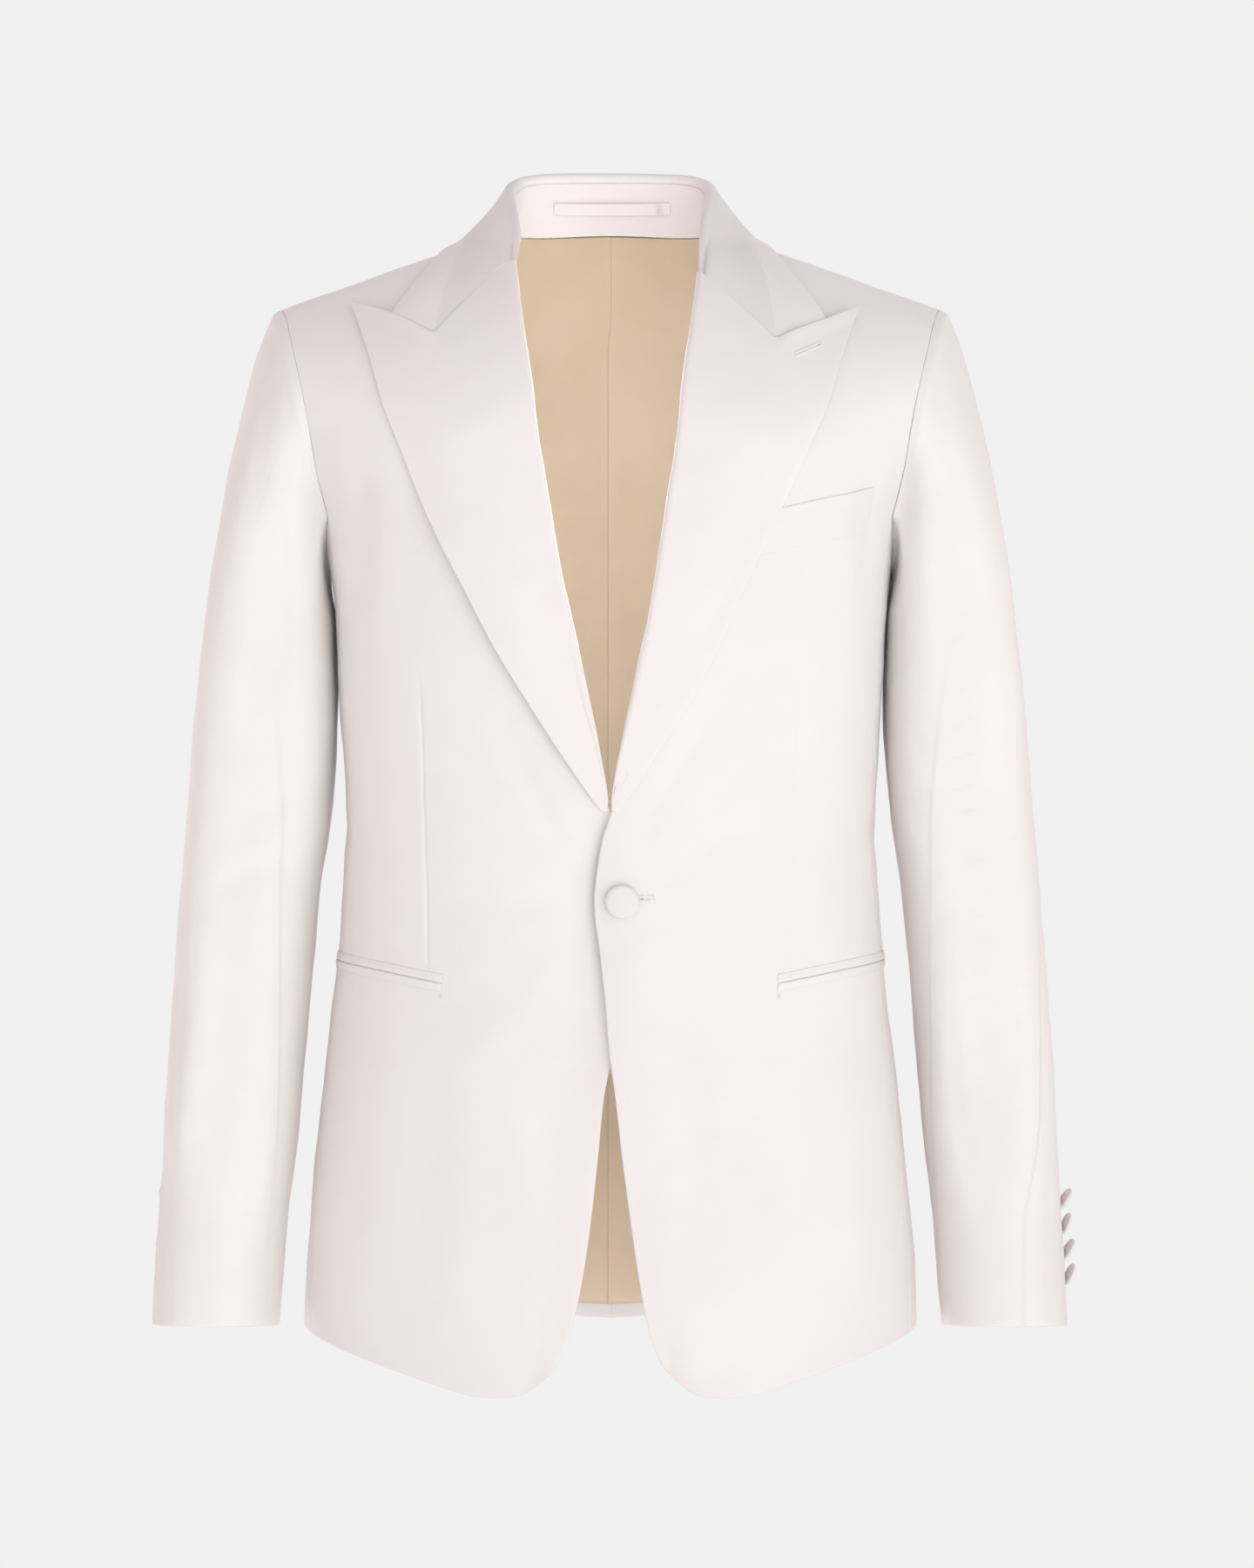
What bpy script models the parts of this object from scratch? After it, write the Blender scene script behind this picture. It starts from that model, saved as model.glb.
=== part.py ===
"""One-button peak lapel dinner jacket in ivory cloth, filled out as when worn, with nothing in it.

Metres. +Z is up, -Y is the front and +X is the wearer's left. The origin is where the wearer's shoulders
carry the jacket. Every panel is a wall on one body form, which a table of level sections gives.
"""

import math
from collections import namedtuple

import bmesh
import bpy
from mathutils import Vector

# Walls and the spaces between them.
CLOTH = 0.0020
LAPEL_CLOTH = 0.0024
LINING_CLOTH = 0.0010
JET_CLOTH = 0.0014
SEAM = 0.0003
SLEEVE_SEAM_HALF = 0.00024
LAYER = 0.0009

# The shoulders: a ridge each side, straight but for a round at the middle and a rise towards the neck,
# over which front and back bend into each other.
NECK_RIDGE = 0.0626
NECK_ROUND = 0.045
NECK_RISE = 0.005
NECK_RISE_FROM = 0.105
NECK_RISE_TO = 0.055
SHOULDER_SLOPE = 0.367
RIDGE_Y = 0.015
ARCH_HEIGHT = 0.145
ARCH_BEND = 1.75

# Where the side seams run, as shares of the half breadth, and how far the armhole dips between them.
SIDE_SEAM_FRONT = 0.965
SIDE_SEAM_BACK = 0.955
ARMHOLE_DIP = 0.030
DIP_END = -0.290
HEM_BEND_END_FRONT = -0.560
HEM_BEND_END_SIDE = -0.620

# The wearer's left front lies this far out, and the right one this far in, where they lap: all of it up
# to the first x and below the first z, none of it past the second ones.
LAP = 0.0014
LAP_X = (0.035, 0.080)
LAP_Z = (-0.250, -0.150)

FRONT_BUTTON_RADIUS = 0.0112
FRONT_BUTTON_THICK = 0.0050
FRONT_BUTTON_X = 0.0078
FRONT_BUTTON_Z = -0.4073
CUFF_BUTTON_RADIUS = 0.0075
CUFF_BUTTON_THICK = 0.0034
CUFF_BUTTON_PITCH = 0.0163
CUFF_BUTTON_LOWEST = -0.654
CUFF_BUTTONS = 4
CUFF_BUTTON_DOME = 0.6
FRONT_BUTTON_DOME = 0.9
BUTTON_SEGMENTS = 12

IVORY = (0.86, 0.80, 0.75)
SATIN = (0.88, 0.82, 0.77)
TAN = (0.56, 0.44, 0.33)
CLOTH_ROUGHNESS = 0.6
SATIN_ROUGHNESS = 0.45
LINING_ROUGHNESS = 0.35
BUTTON_ROUGHNESS = 0.4
SHARP_ANGLE = 40

Section = namedtuple("Section", "height half_width front back square_front square_back")
FORM = [
    Section(-0.740, 0.2040, 0.133, 0.134, 2.30, 2.30),
    Section(-0.681, 0.2016, 0.133, 0.133, 2.30, 2.30),
    Section(-0.620, 0.1981, 0.132, 0.132, 2.30, 2.30),
    Section(-0.534, 0.1895, 0.131, 0.127, 2.30, 2.30),
    Section(-0.454, 0.1802, 0.129, 0.117, 2.35, 2.35),
    Section(-0.377, 0.1747, 0.130, 0.109, 2.40, 2.40),
    Section(-0.333, 0.1745, 0.133, 0.109, 2.40, 2.45),
    Section(-0.268, 0.1778, 0.140, 0.116, 2.45, 2.60),
    Section(-0.223, 0.1797, 0.144, 0.123, 2.50, 2.80),
    Section(-0.190, 0.1840, 0.145, 0.127, 2.50, 3.00),
    Section(-0.150, 0.1930, 0.144, 0.129, 2.50, 3.40),
    Section(-0.110, 0.2180, 0.141, 0.128, 2.50, 4.00),
    Section(-0.075, 0.2540, 0.137, 0.126, 2.50, 4.00),
    Section(0.060, 0.4000, 0.128, 0.120, 2.50, 4.00),
]

# Edges seen from the front, each a half breadth for each height.
Edge = namedtuple("Edge", "height x")
ARMHOLE_FRONT = [
    Edge(-0.160, 0.1832),
    Edge(-0.131, 0.1896),
    Edge(-0.105, 0.1935),
    Edge(-0.079, 0.1985),
    Edge(-0.048, 0.2065),
    Edge(-0.028, 0.2125),
    Edge(-0.019, 0.2174),
]
ARMHOLE_BACK = [
    Edge(-0.160, 0.1815),
    Edge(-0.135, 0.1920),
    Edge(-0.105, 0.2000),
    Edge(-0.070, 0.2055),
    Edge(-0.040, 0.2110),
    Edge(-0.019, 0.2174),
]
ROLL_LINE = [
    Edge(-0.352, 0.0012),
    Edge(-0.339, 0.0014),
    Edge(-0.300, 0.0085),
    Edge(-0.225, 0.0242),
    Edge(-0.130, 0.0400),
    Edge(-0.103, 0.0455),
    Edge(-0.066, 0.0500),
    Edge(-0.044, 0.0530),
    Edge(-0.022, 0.0560),
    Edge(0.004, 0.0588),
]
LAPEL_EDGE = [
    Edge(-0.352, 0.0036),
    Edge(-0.344, 0.0104),
    Edge(-0.300, 0.0390),
    Edge(-0.250, 0.0690),
    Edge(-0.210, 0.0890),
    Edge(-0.160, 0.1135),
    Edge(-0.112, 0.1345),
    Edge(-0.090, 0.1435),
    Edge(-0.062, 0.1520),
    Edge(-0.041, 0.1595),
    Edge(-0.022, 0.1670),
]
# The free edge of the left front with its cut under the lapel up to the neck, and how much further the
# right front runs on beneath it.
FrontEdge = namedtuple("FrontEdge", "height x beneath")
FRONT_EDGE = [
    FrontEdge(-0.7065, 0.0380, 0.0000),
    FrontEdge(-0.6990, 0.0323, 0.0000),
    FrontEdge(-0.6810, 0.0252, 0.0000),
    FrontEdge(-0.6470, 0.0195, 0.0000),
    FrontEdge(-0.6130, 0.0150, 0.0000),
    FrontEdge(-0.5710, 0.0086, 0.0000),
    FrontEdge(-0.5300, 0.0034, 0.0000),
    FrontEdge(-0.5060, 0.0000, 0.0020),
    FrontEdge(-0.4700, -0.0030, 0.0080),
    FrontEdge(-0.4360, -0.0068, 0.0130),
    FrontEdge(-0.4170, -0.0094, 0.0145),
    FrontEdge(-0.4000, -0.0095, 0.0145),
    FrontEdge(-0.3700, -0.0051, 0.0100),
    FrontEdge(-0.3555, -0.0006, 0.0030),
    FrontEdge(-0.3390, 0.0050, 0.0000),
    FrontEdge(-0.3000, 0.0195, 0.0000),
    FrontEdge(-0.2250, 0.0355, 0.0000),
    FrontEdge(-0.1300, 0.0515, 0.0000),
    FrontEdge(-0.0660, 0.0610, 0.0000),
    FrontEdge(-0.0220, 0.0660, 0.0000),
    FrontEdge(0.0040, 0.0680, 0.0000),
    FrontEdge(0.0200, 0.0720, 0.0000),
    FrontEdge(0.0314, 0.0750, 0.0000),
]
FRONT_EDGE_OVER = [Edge(row.height, row.x) for row in FRONT_EDGE]
FRONT_EDGE_UNDER = [Edge(row.height, row.x - row.beneath) for row in FRONT_EDGE]

# The hem of a front from the middle of its round corner to the side seam: a height for each x.
Hem = namedtuple("Hem", "x height")
FRONT_HEM = [
    Hem(0.0380, -0.7065),
    Hem(0.0527, -0.7180),
    Hem(0.0665, -0.7210),
    Hem(0.0880, -0.7205),
    Hem(0.1165, -0.7130),
    Hem(0.1425, -0.7055),
    Hem(0.1620, -0.7000),
    Hem(0.1810, -0.6945),
    Hem(0.1950, -0.6900),
]
BACK_HEM_CENTRE = -0.699
SIDE_HEM_MIDDLE = -0.687

# Rows of the body panels below the armhole: heights at the front edge, at both side seams and at the
# centre back seam.
Row = namedtuple("Row", "front_edge side_seam centre_back")
LOWER_ROWS = [
    Row(-0.7065, -0.690, BACK_HEM_CENTRE),
    Row(-0.6990, -0.683, -0.690),
    Row(-0.6860, -0.672, -0.676),
    Row(-0.6600, -0.648, -0.650),
    Row(-0.6200, -0.610, -0.610),
    Row(-0.5750, -0.568, -0.568),
    Row(-0.5300, -0.526, -0.526),
    Row(-0.4900, -0.488, -0.488),
    Row(-0.4550, -0.454, -0.452),
    Row(-0.4200, -0.420, -0.416),
    Row(-0.3880, -0.388, -0.380),
    Row(-0.3560, -0.356, -0.344),
    Row(-0.3200, -0.323, -0.306),
    Row(-0.2820, -0.289, -0.266),
    Row(-0.2400, -0.254, -0.224),
    Row(-0.1960, -0.221, -0.180),
    Row(-0.1540, -0.189, -0.138),
    Row(-0.1160, -0.160, -0.100),
]
# Above them, rows go over the shoulder: degrees round the arch, up to 90 on the shoulder seam.
FRONT_ARCH_ROWS = [14, 27, 40, 53, 66, 78, 90]
BACK_ARCH_ROWS = [14, 28, 42, 55, 66, 69, 73, 80, 90]
BACK_NECK_HALF = 0.075
BACK_NECK_ROW = 66

# Columns across each panel, and the degrees by which they close up towards the side.
FRONT_COLUMNS = 11
FRONT_EASE = 72
BACK_COLUMNS = 9
BACK_EASE = 70
SIDE_COLUMNS = 5

# A sleeve below its head: level rings, with the nearest and farthest x, the middle y, half the depth,
# the quarter turn of the cloth towards the thumb, and how much lower the back of the ring is.
Ring = namedtuple("Ring", "height x_inner x_outer y_middle half_depth twist droop")
SLEEVE = [
    Ring(-0.6875, 0.2172, 0.3020, -0.024, 0.0475, 80.0, 0.10),
    Ring(-0.6420, 0.2140, 0.2994, -0.019, 0.0500, 76.0, 0.05),
    Ring(-0.6030, 0.2103, 0.2966, -0.014, 0.0522, 70.0, 0.0),
    Ring(-0.5650, 0.2067, 0.2942, -0.009, 0.0545, 62.0, 0.0),
    Ring(-0.5250, 0.2034, 0.2915, -0.004, 0.0568, 54.0, 0.0),
    Ring(-0.4865, 0.2004, 0.2889, 0.001, 0.0590, 46.0, 0.0),
    Ring(-0.4405, 0.1965, 0.2853, 0.005, 0.0615, 37.0, 0.0),
    Ring(-0.4000, 0.1928, 0.2822, 0.008, 0.0638, 29.0, 0.0),
    Ring(-0.3600, 0.1872, 0.2790, 0.009, 0.0660, 21.0, 0.0),
    Ring(-0.3200, 0.1838, 0.2758, 0.009, 0.0682, 13.0, 0.0),
    Ring(-0.2755, 0.1824, 0.2720, 0.008, 0.0705, 6.0, 0.0),
    Ring(-0.2250, 0.1830, 0.2660, 0.006, 0.0730, 0.0, 0.0),
]
# The right sleeve is turned less, so its cuff buttons lie further back.
SLEEVE_TWIST = {1: 1.0, -1: 0.68}
CUFF_BUTTON_TURN = {1: -3.0, -1: -30.0}
SLEEVE_SQUARE = 2.2
# The sleeve head, between the armhole and the first ring: how it leaves the armhole, and its two seams as
# shares of the way round from the shoulder.
HEAD_RINGS = [0.0, 0.12, 0.26, 0.42, 0.60, 0.80]
ARMHOLE_FACES = (0.977, 0.0, -0.213)
ARMHOLE_GAP = 0.0005
HEAD_FULLNESS = 0.056
UNDERARM_FULLNESS = 0.012
UNDERARM_SAG = 0.016
HEAD_SLACK = 0.040
FRONT_SLEEVE_SEAM = 0.40
BACK_SLEEVE_SEAM = 0.73

# The collar from its front end to the centre back: the fold at its top, then in plan its lower edge on
# the body and the neck seam, how far the stand starts from the body there, the fold's radius, and how
# many degrees the cloth turns over it.
Station = namedtuple(
    "Station", "along fold_x fold_y fold_z edge_x edge_y neck_x neck_y neck_lift roll wrap"
)
COLLAR = [
    Station(0.00, 0.0604, -0.0728, 0.0065, 0.1390, -0.0685, 0.0660, -0.0600, -0.0010, 0.0030, 90),
    Station(0.14, 0.0610, -0.0535, 0.0205, 0.1275, -0.0560, 0.0685, -0.0440, -0.0012, 0.0032, 125),
    Station(0.28, 0.0632, -0.0270, 0.0400, 0.1160, -0.0350, 0.0700, -0.0250, -0.0015, 0.0036, 180),
    Station(0.45, 0.0668, 0.0040, 0.0590, 0.1045, 0.0090, 0.0709, 0.0040, -0.0032, 0.0040, 180),
    Station(0.60, 0.0640, 0.0235, 0.0685, 0.0860, 0.0322, 0.0664, 0.0262, -0.0038, 0.0042, 180),
    Station(0.74, 0.0515, 0.0360, 0.0737, 0.0620, 0.0475, 0.0498, 0.0387, -0.0040, 0.0042, 180),
    Station(0.87, 0.0295, 0.0440, 0.0757, 0.0340, 0.0592, 0.0277, 0.0460, -0.0040, 0.0042, 180),
    Station(1.00, 0.0000, 0.0468, 0.0762, 0.0000, 0.0660, 0.0000, 0.0486, -0.0042, 0.0042, 180),
    Station(1.13, -0.0295, 0.0440, 0.0757, -0.0340, 0.0592, -0.0277, 0.0460, -0.0040, 0.0042, 180),
]
COLLAR_STEPS = 12
FOLD_POINTS = 4
FOLD_END = 35
LEAF_SHARES = [0.0, 0.22, 0.44, 0.62, 0.81, 1.0]
LEAF_CORNER_SHARE = 0.62
GORGE_REACH = 0.42
FOLD_REACH = 0.08
LEAF_TUCK = 0.0030
LEAF_TUCK_LEAST = 0.0008
STAND_FIRST_STEP = 4
STAND_SHARES = [0.0, 0.33, 0.67, 1.0]
FOLD_GAP = 0.0006
NECK_MIDDLE = (0.0, 0.0, 0.0)
BEHIND_NECK = (0.0, 0.3, 0.0)
GORGE_TOP = (0.0588, 0.0040)
GORGE_FIRST = 0.07
GORGE_CORNER = (0.1100, -0.0457)
NOTCH_CORNER = (0.1390, -0.0330)

# The lapel's rows: the height at the roll line and at the outer edge, and how far the gorge dips there.
LapelRow = namedtuple("LapelRow", "along roll edge dip")
LAPEL_ROWS = [
    LapelRow(0.00, -0.350, -0.3510, 0.0),
    LapelRow(0.05, -0.333, -0.3400, 0.0),
    LapelRow(0.20, -0.282, -0.2980, 0.0),
    LapelRow(0.45, -0.198, -0.2150, 0.03),
    LapelRow(0.65, -0.126, -0.1440, 0.24),
    LapelRow(0.80, -0.072, -0.0870, 0.52),
    LapelRow(0.90, -0.034, -0.0540, 0.76),
    LapelRow(1.00, 0.004, -0.0220, 1.0),
]
LAPEL_STEPS = 18
LAPEL_COLUMNS = [0.0, 0.07, 0.16, 0.27, 0.38, 0.475, 0.60, 0.74, 0.87, 1.0]
# The lapel sinks to the edge of the front along its roll, but not at the roll's two ends.
ROLL_SOFTNESS = 0.010
ROLL_EDGE_OUT = 0.0008
ROLL_LOW_END = (-0.300, -0.340)
ROLL_HIGH_END = (-0.100, -0.020)

# The hip pockets, as lines round the body: degrees from the centre front, and heights.
HIP_POCKET_FRONT_TURN = 43.8
HIP_POCKET_BACK_TURN = 93.0
HIP_POCKET_FRONT_Z = -0.4612
HIP_POCKET_BACK_Z = -0.4478
HIP_POCKET_COLUMNS = 10
JET_HEIGHT = 0.0056
# The chest pocket's welt: (x, z) of its ends.
WELT_TOP = [(0.1160, -0.1566), (0.1693, -0.1431)]
WELT_BOTTOM = [(0.1018, -0.1867), (0.1657, -0.1726)]
WELT_COLUMNS = 7

# The lining starts above the hem's turned up edge. The hanger loop bows away from the stand.
LINING_FIRST_ROW = 1
HANGER_GAP = 0.0006
HANGER_HALF = 0.0385
HANGER_Z = 0.0514
HANGER_HEIGHT = 0.0080
HANGER_BOW = 0.0015

Spot = namedtuple("Spot", "point normal")


def between(rows, at):
    """The table's row at a value of its first column, on smooth curves through the others."""
    if at <= rows[0][0]:
        return rows[0]
    if at >= rows[-1][0]:
        return rows[-1]
    low = max(i for i in range(len(rows) - 1) if rows[i][0] <= at)
    span = rows[low + 1][0] - rows[low][0]
    t = (at - rows[low][0]) / span

    def slope(index, column):
        before = rows[max(index - 1, 0)]
        after = rows[min(index + 1, len(rows) - 1)]
        return (after[column] - before[column]) / (after[0] - before[0])

    values = [at]
    for column in range(1, len(rows[0])):
        start = rows[low][column]
        end = rows[low + 1][column]
        value = start * (2 * t**3 - 3 * t**2 + 1) + end * (3 * t**2 - 2 * t**3)
        value += span * slope(low, column) * (t**3 - 2 * t**2 + t)
        value += span * slope(low + 1, column) * (t**3 - t**2)
        values.append(value)
    return type(rows[0])(*values)


def mix(a, b, share):
    return a + (b - a) * share


def fade(value, full, none):
    """1 at full, 0 at none, smooth between them."""
    share = min(max((value - none) / (full - none), 0.0), 1.0)
    return share * share * (3 - 2 * share)


# The body form.


def ridge(x):
    rise = NECK_RISE * fade(abs(x), NECK_RISE_TO, NECK_RISE_FROM)
    return NECK_RIDGE - SHOULDER_SLOPE * math.hypot(x, NECK_ROUND) + rise


def run_from_ridge(x, z, back):
    """How far the wall stands from the shoulder line before the shoulders round it over."""
    section = between(FORM, z)
    depth = section.back if back else section.front
    square = section.square_back if back else section.square_front
    reach = max(0.0, 1.0 - (abs(x) / section.half_width) ** square) ** (1.0 / square)
    return depth * reach + (-RIDGE_Y if back else RIDGE_Y)


def form_y(x, z, back):
    drop = min(max((ridge(x) - z) / ARCH_HEIGHT, 0.0), 1.0)
    share = (1.0 - (1.0 - drop) ** ARCH_BEND) ** (1.0 / ARCH_BEND)
    run = run_from_ridge(x, z, back) * share
    return RIDGE_Y + run if back else RIDGE_Y - run


def outside(point, back):
    """0 on the form's front or back wall, above 0 outside it."""
    run = abs(point.y - RIDGE_Y) / max(run_from_ridge(point.x, point.z, back), 1e-4)
    rise = max(0.0, 1.0 - (ridge(point.x) - point.z) / ARCH_HEIGHT)
    return run**ARCH_BEND + rise**ARCH_BEND - 1.0


def gradient(function, point, *arguments):
    step = 2e-5
    slopes = []
    for axis in range(3):
        ahead = point.copy()
        behind = point.copy()
        ahead[axis] += step
        behind[axis] -= step
        slopes.append((function(ahead, *arguments) - function(behind, *arguments)) / (2 * step))
    return Vector(slopes)


def wall_spot(x, z, back=False, out=0.0):
    """A place on the front or the back, moved out from the form along its normal."""
    point = Vector((x, form_y(x, z, back), z))
    normal = gradient(outside, point, back).normalized()
    return Spot(point + normal * out, normal)


def arch_z(x, degrees):
    """Height at a breadth on the line that runs round the shoulder arch at this angle."""
    rise = math.sin(math.radians(degrees)) ** (2.0 / ARCH_BEND)
    return ridge(x) - ARCH_HEIGHT * (1.0 - rise)


def arch_spot(x, degrees, back=False, out=0.0):
    """As wall_spot, by the angle round the arch, which stays exact up to the ridge."""
    z = arch_z(x, degrees)
    run = run_from_ridge(x, z, back) * math.cos(math.radians(degrees)) ** (2.0 / ARCH_BEND)
    if degrees >= 90:
        run = 0.0
    point = Vector((x, RIDGE_Y + run if back else RIDGE_Y - run, z))
    normal = gradient(outside, point, back).normalized()
    return Spot(point + normal * out, normal)


def girth_level(point):
    """0 on the form below the arch, all round it, above 0 outside."""
    section = between(FORM, point.z)
    back = point.y > 0
    square = section.square_back if back else section.square_front
    depth = section.back if back else section.front
    return (abs(point.x) / section.half_width) ** square + (abs(point.y) / depth) ** square - 1.0


def girth_spot(turn, z, out=0.0):
    """A place below the arch by its turn in degrees: 0 centre front, 90 the wearer's left, 180 the back."""
    section = between(FORM, z)
    across = abs(math.sin(math.radians(turn)))
    ahead = math.cos(math.radians(turn))
    back = ahead < 0
    square = section.square_back if back else section.square_front
    depth = section.back if back else section.front
    radius = ((across / section.half_width) ** square + (abs(ahead) / depth) ** square) ** (-1.0 / square)
    point = Vector((radius * math.sin(math.radians(turn)), -radius * ahead, z))
    normal = gradient(girth_level, point).normalized()
    return Spot(point + normal * out, normal)


def top_z(x, y):
    """Height of the form over a place in plan, near the shoulders."""
    back = y > RIDGE_Y
    z = ridge(x)
    for _ in range(16):
        run = min(abs(y - RIDGE_Y) / run_from_ridge(x, z, back), 1.0)
        z = ridge(x) - ARCH_HEIGHT * (1.0 - (1.0 - run**ARCH_BEND) ** (1.0 / ARCH_BEND))
    return z


def settled(point, out):
    """The point, moved off the form if it is nearer to it than out."""
    place = point.copy()
    for _ in range(6):
        back = place.y > RIDGE_Y
        slope = gradient(outside, place, back)
        distance = outside(place, back) / slope.length
        if distance >= out:
            break
        place += slope.normalized() * (out - distance)
    return place


def lap(x, z):
    return LAP * fade(abs(x), *LAP_X) * fade(z, *LAP_Z)


# Walls from rows of spots.


def drawn_in(rows, edges, space=SEAM / 2):
    """The rows with the named edges moved back by half a seam."""
    grid = [list(row) for row in rows]

    def toward(spot, neighbour):
        step = (neighbour.point - spot.point).normalized() * space
        return Spot(spot.point + step, spot.normal)

    if "start" in edges:
        for row in grid:
            row[0] = toward(row[0], row[1])
    if "end" in edges:
        for row in grid:
            row[-1] = toward(row[-1], row[-2])
    if "bottom" in edges:
        grid[0] = [toward(a, b) for a, b in zip(grid[0], grid[1])]
    if "top" in edges:
        grid[-1] = [toward(a, b) for a, b in zip(grid[-1], grid[-2])]
    return grid


def mirrored(rows):
    flip = Vector((-1, 1, 1))
    return [[Spot(spot.point * flip, spot.normal * flip) for spot in row] for row in rows]


def material(name, colour, roughness):
    made = bpy.data.materials.get(name) or bpy.data.materials.new(name)
    made.use_nodes = True
    shader = made.node_tree.nodes["Principled BSDF"]
    shader.inputs["Base Color"].default_value = (*colour, 1.0)
    shader.inputs["Roughness"].default_value = roughness
    shader.inputs["Metallic"].default_value = 0.0
    return made


def solid(name, vertices, faces, colour, roughness):
    mesh = bpy.data.meshes.new(name)
    made = bmesh.new()
    corners = [made.verts.new(vertex) for vertex in vertices]
    for face in faces:
        made.faces.new([corners[index] for index in face])
    bmesh.ops.recalc_face_normals(made, faces=made.faces)
    if made.calc_volume(signed=True) < 0:
        bmesh.ops.reverse_faces(made, faces=made.faces)
    made.to_mesh(mesh)
    made.free()
    mesh.materials.append(material(name + "_cloth", colour, roughness))
    mesh.shade_smooth()
    mesh.set_sharp_from_angle(angle=math.radians(SHARP_ANGLE))
    bpy.context.scene.collection.objects.link(bpy.data.objects.new(name, mesh))


def split(quad, points):
    """Two triangles along the quad's shorter diagonal, so that stacked walls are faceted alike."""
    a, b, c, d = quad
    if (points[a] - points[c]).length <= (points[b] - points[d]).length:
        return [(a, b, c), (a, c, d)]
    return [(a, b, d), (b, c, d)]


def wall(name, rows, thickness, colour, roughness=CLOTH_ROUGHNESS):
    """A closed wall: the rows are its outer face, and the inner face lies behind them."""
    count = len(rows[0])
    outer = [spot.point for row in rows for spot in row]
    inner = [spot.point - spot.normal * thickness for row in rows for spot in row]
    shift = len(outer)
    faces = []
    for r in range(len(rows) - 1):
        for c in range(count - 1):
            corner = r * count + c
            for face in split((corner, corner + 1, corner + count + 1, corner + count), outer):
                faces.append(face)
                faces.append(tuple(index + shift for index in reversed(face)))
    last = (len(rows) - 1) * count
    rim = list(range(count))
    rim += [r * count + count - 1 for r in range(1, len(rows))]
    rim += [last + c for c in range(count - 2, -1, -1)]
    rim += [r * count for r in range(len(rows) - 2, 0, -1)]
    for a, b in zip(rim, rim[1:] + rim[:1]):
        faces.append((b, a, a + shift, b + shift))
    solid(name, outer + inner, faces, colour, roughness)


# Body panels, each made for the wearer's left.


def eased(count, turn):
    """Shares from 0 to 1 that close up towards 1."""
    full = math.sin(math.radians(turn))
    return [math.sin(math.radians(turn * i / (count - 1))) / full for i in range(count)]


def seam_x(z, ratio):
    return between(FORM, z).half_width * ratio


def meet(edge, degrees):
    """The x where an edge crosses the arch line at this angle."""
    x = edge[-1].x
    for _ in range(20):
        x = between(edge, arch_z(x, degrees)).x
    return x


def front_panel(edge, side):
    """side is 1 on the left front, which laps over, and -1 on the right one."""
    rows = []
    shares = eased(FRONT_COLUMNS, FRONT_EASE)
    bottom = LOWER_ROWS[0]
    for row in LOWER_ROWS:
        x_edge = between(edge, row.front_edge).x
        x_seam = seam_x(row.side_seam, SIDE_SEAM_FRONT)
        hem_pull = fade(row.front_edge, bottom.front_edge, HEM_BEND_END_FRONT)
        spots = []
        for share in shares:
            x = mix(x_edge, x_seam, share)
            z = mix(row.front_edge, row.side_seam, share)
            z += hem_pull * (between(FRONT_HEM, x).height - mix(bottom.front_edge, bottom.side_seam, share))
            spots.append(wall_spot(x, z, out=side * lap(x, z)))
        rows.append(spots)
    for degrees in FRONT_ARCH_ROWS:
        x_edge = meet(edge, degrees)
        x_arm = meet(ARMHOLE_FRONT, degrees)
        spots = []
        for share in shares:
            x = mix(x_edge, x_arm, share)
            spots.append(arch_spot(x, degrees, out=side * lap(x, arch_z(x, degrees))))
        rows.append(spots)
    return rows


def neck_x(degrees):
    """Where the arch line at this angle meets the neckline, which is half an ellipse seen from above."""
    if degrees <= BACK_NECK_ROW:
        return 0.0
    spot = arch_spot(0.05, degrees, back=True)
    lowest = arch_spot(0.0, BACK_NECK_ROW, back=True)
    depth = (spot.point.y - RIDGE_Y) / (lowest.point.y - RIDGE_Y)
    return BACK_NECK_HALF * math.sqrt(max(0.0, 1.0 - min(depth, 1.0) ** 2))


def back_panel():
    rows = []
    shares = eased(BACK_COLUMNS, BACK_EASE)
    for row in LOWER_ROWS:
        x_seam = seam_x(row.side_seam, SIDE_SEAM_BACK)
        spots = []
        for share in shares:
            z = mix(row.centre_back, row.side_seam, share)
            spots.append(wall_spot(x_seam * share, z, back=True))
        rows.append(spots)
    for degrees in BACK_ARCH_ROWS:
        x_neck = neck_x(degrees)
        x_arm = meet(ARMHOLE_BACK, degrees)
        rows.append([arch_spot(mix(x_neck, x_arm, share), degrees, back=True) for share in shares])
    return rows


def turn_of(x, z, back):
    y = form_y(x, z, back)
    return math.degrees(math.atan2(x, -y))


def side_panel():
    rows = []
    top = LOWER_ROWS[-1]
    bottom = LOWER_ROWS[0]
    for row in LOWER_ROWS:
        z = row.side_seam
        first = turn_of(seam_x(z, SIDE_SEAM_FRONT), z, False)
        last = turn_of(seam_x(z, SIDE_SEAM_BACK), z, True)
        dip = ARMHOLE_DIP * fade(z, top.side_seam, DIP_END)
        drop = (SIDE_HEM_MIDDLE - bottom.side_seam) * fade(z, bottom.side_seam, HEM_BEND_END_SIDE)
        spots = []
        for c in range(SIDE_COLUMNS):
            share = c / (SIDE_COLUMNS - 1)
            middle = math.sin(math.pi * share)
            spots.append(girth_spot(mix(first, last, share), z - (dip - drop) * middle))
        rows.append(spots)
    return rows


# Sleeves.


def armhole_loop(front, side, back):
    """Spots round the armhole from the shoulder down the front, under the arm and up the back."""
    lowest = len(LOWER_ROWS) - 1
    down_front = [row[-1] for row in reversed(front[lowest:])]
    under = side[-1][1:-1]
    up_back = [row[-1] for row in back[lowest:]][:-1]
    return down_front + under + up_back


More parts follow.
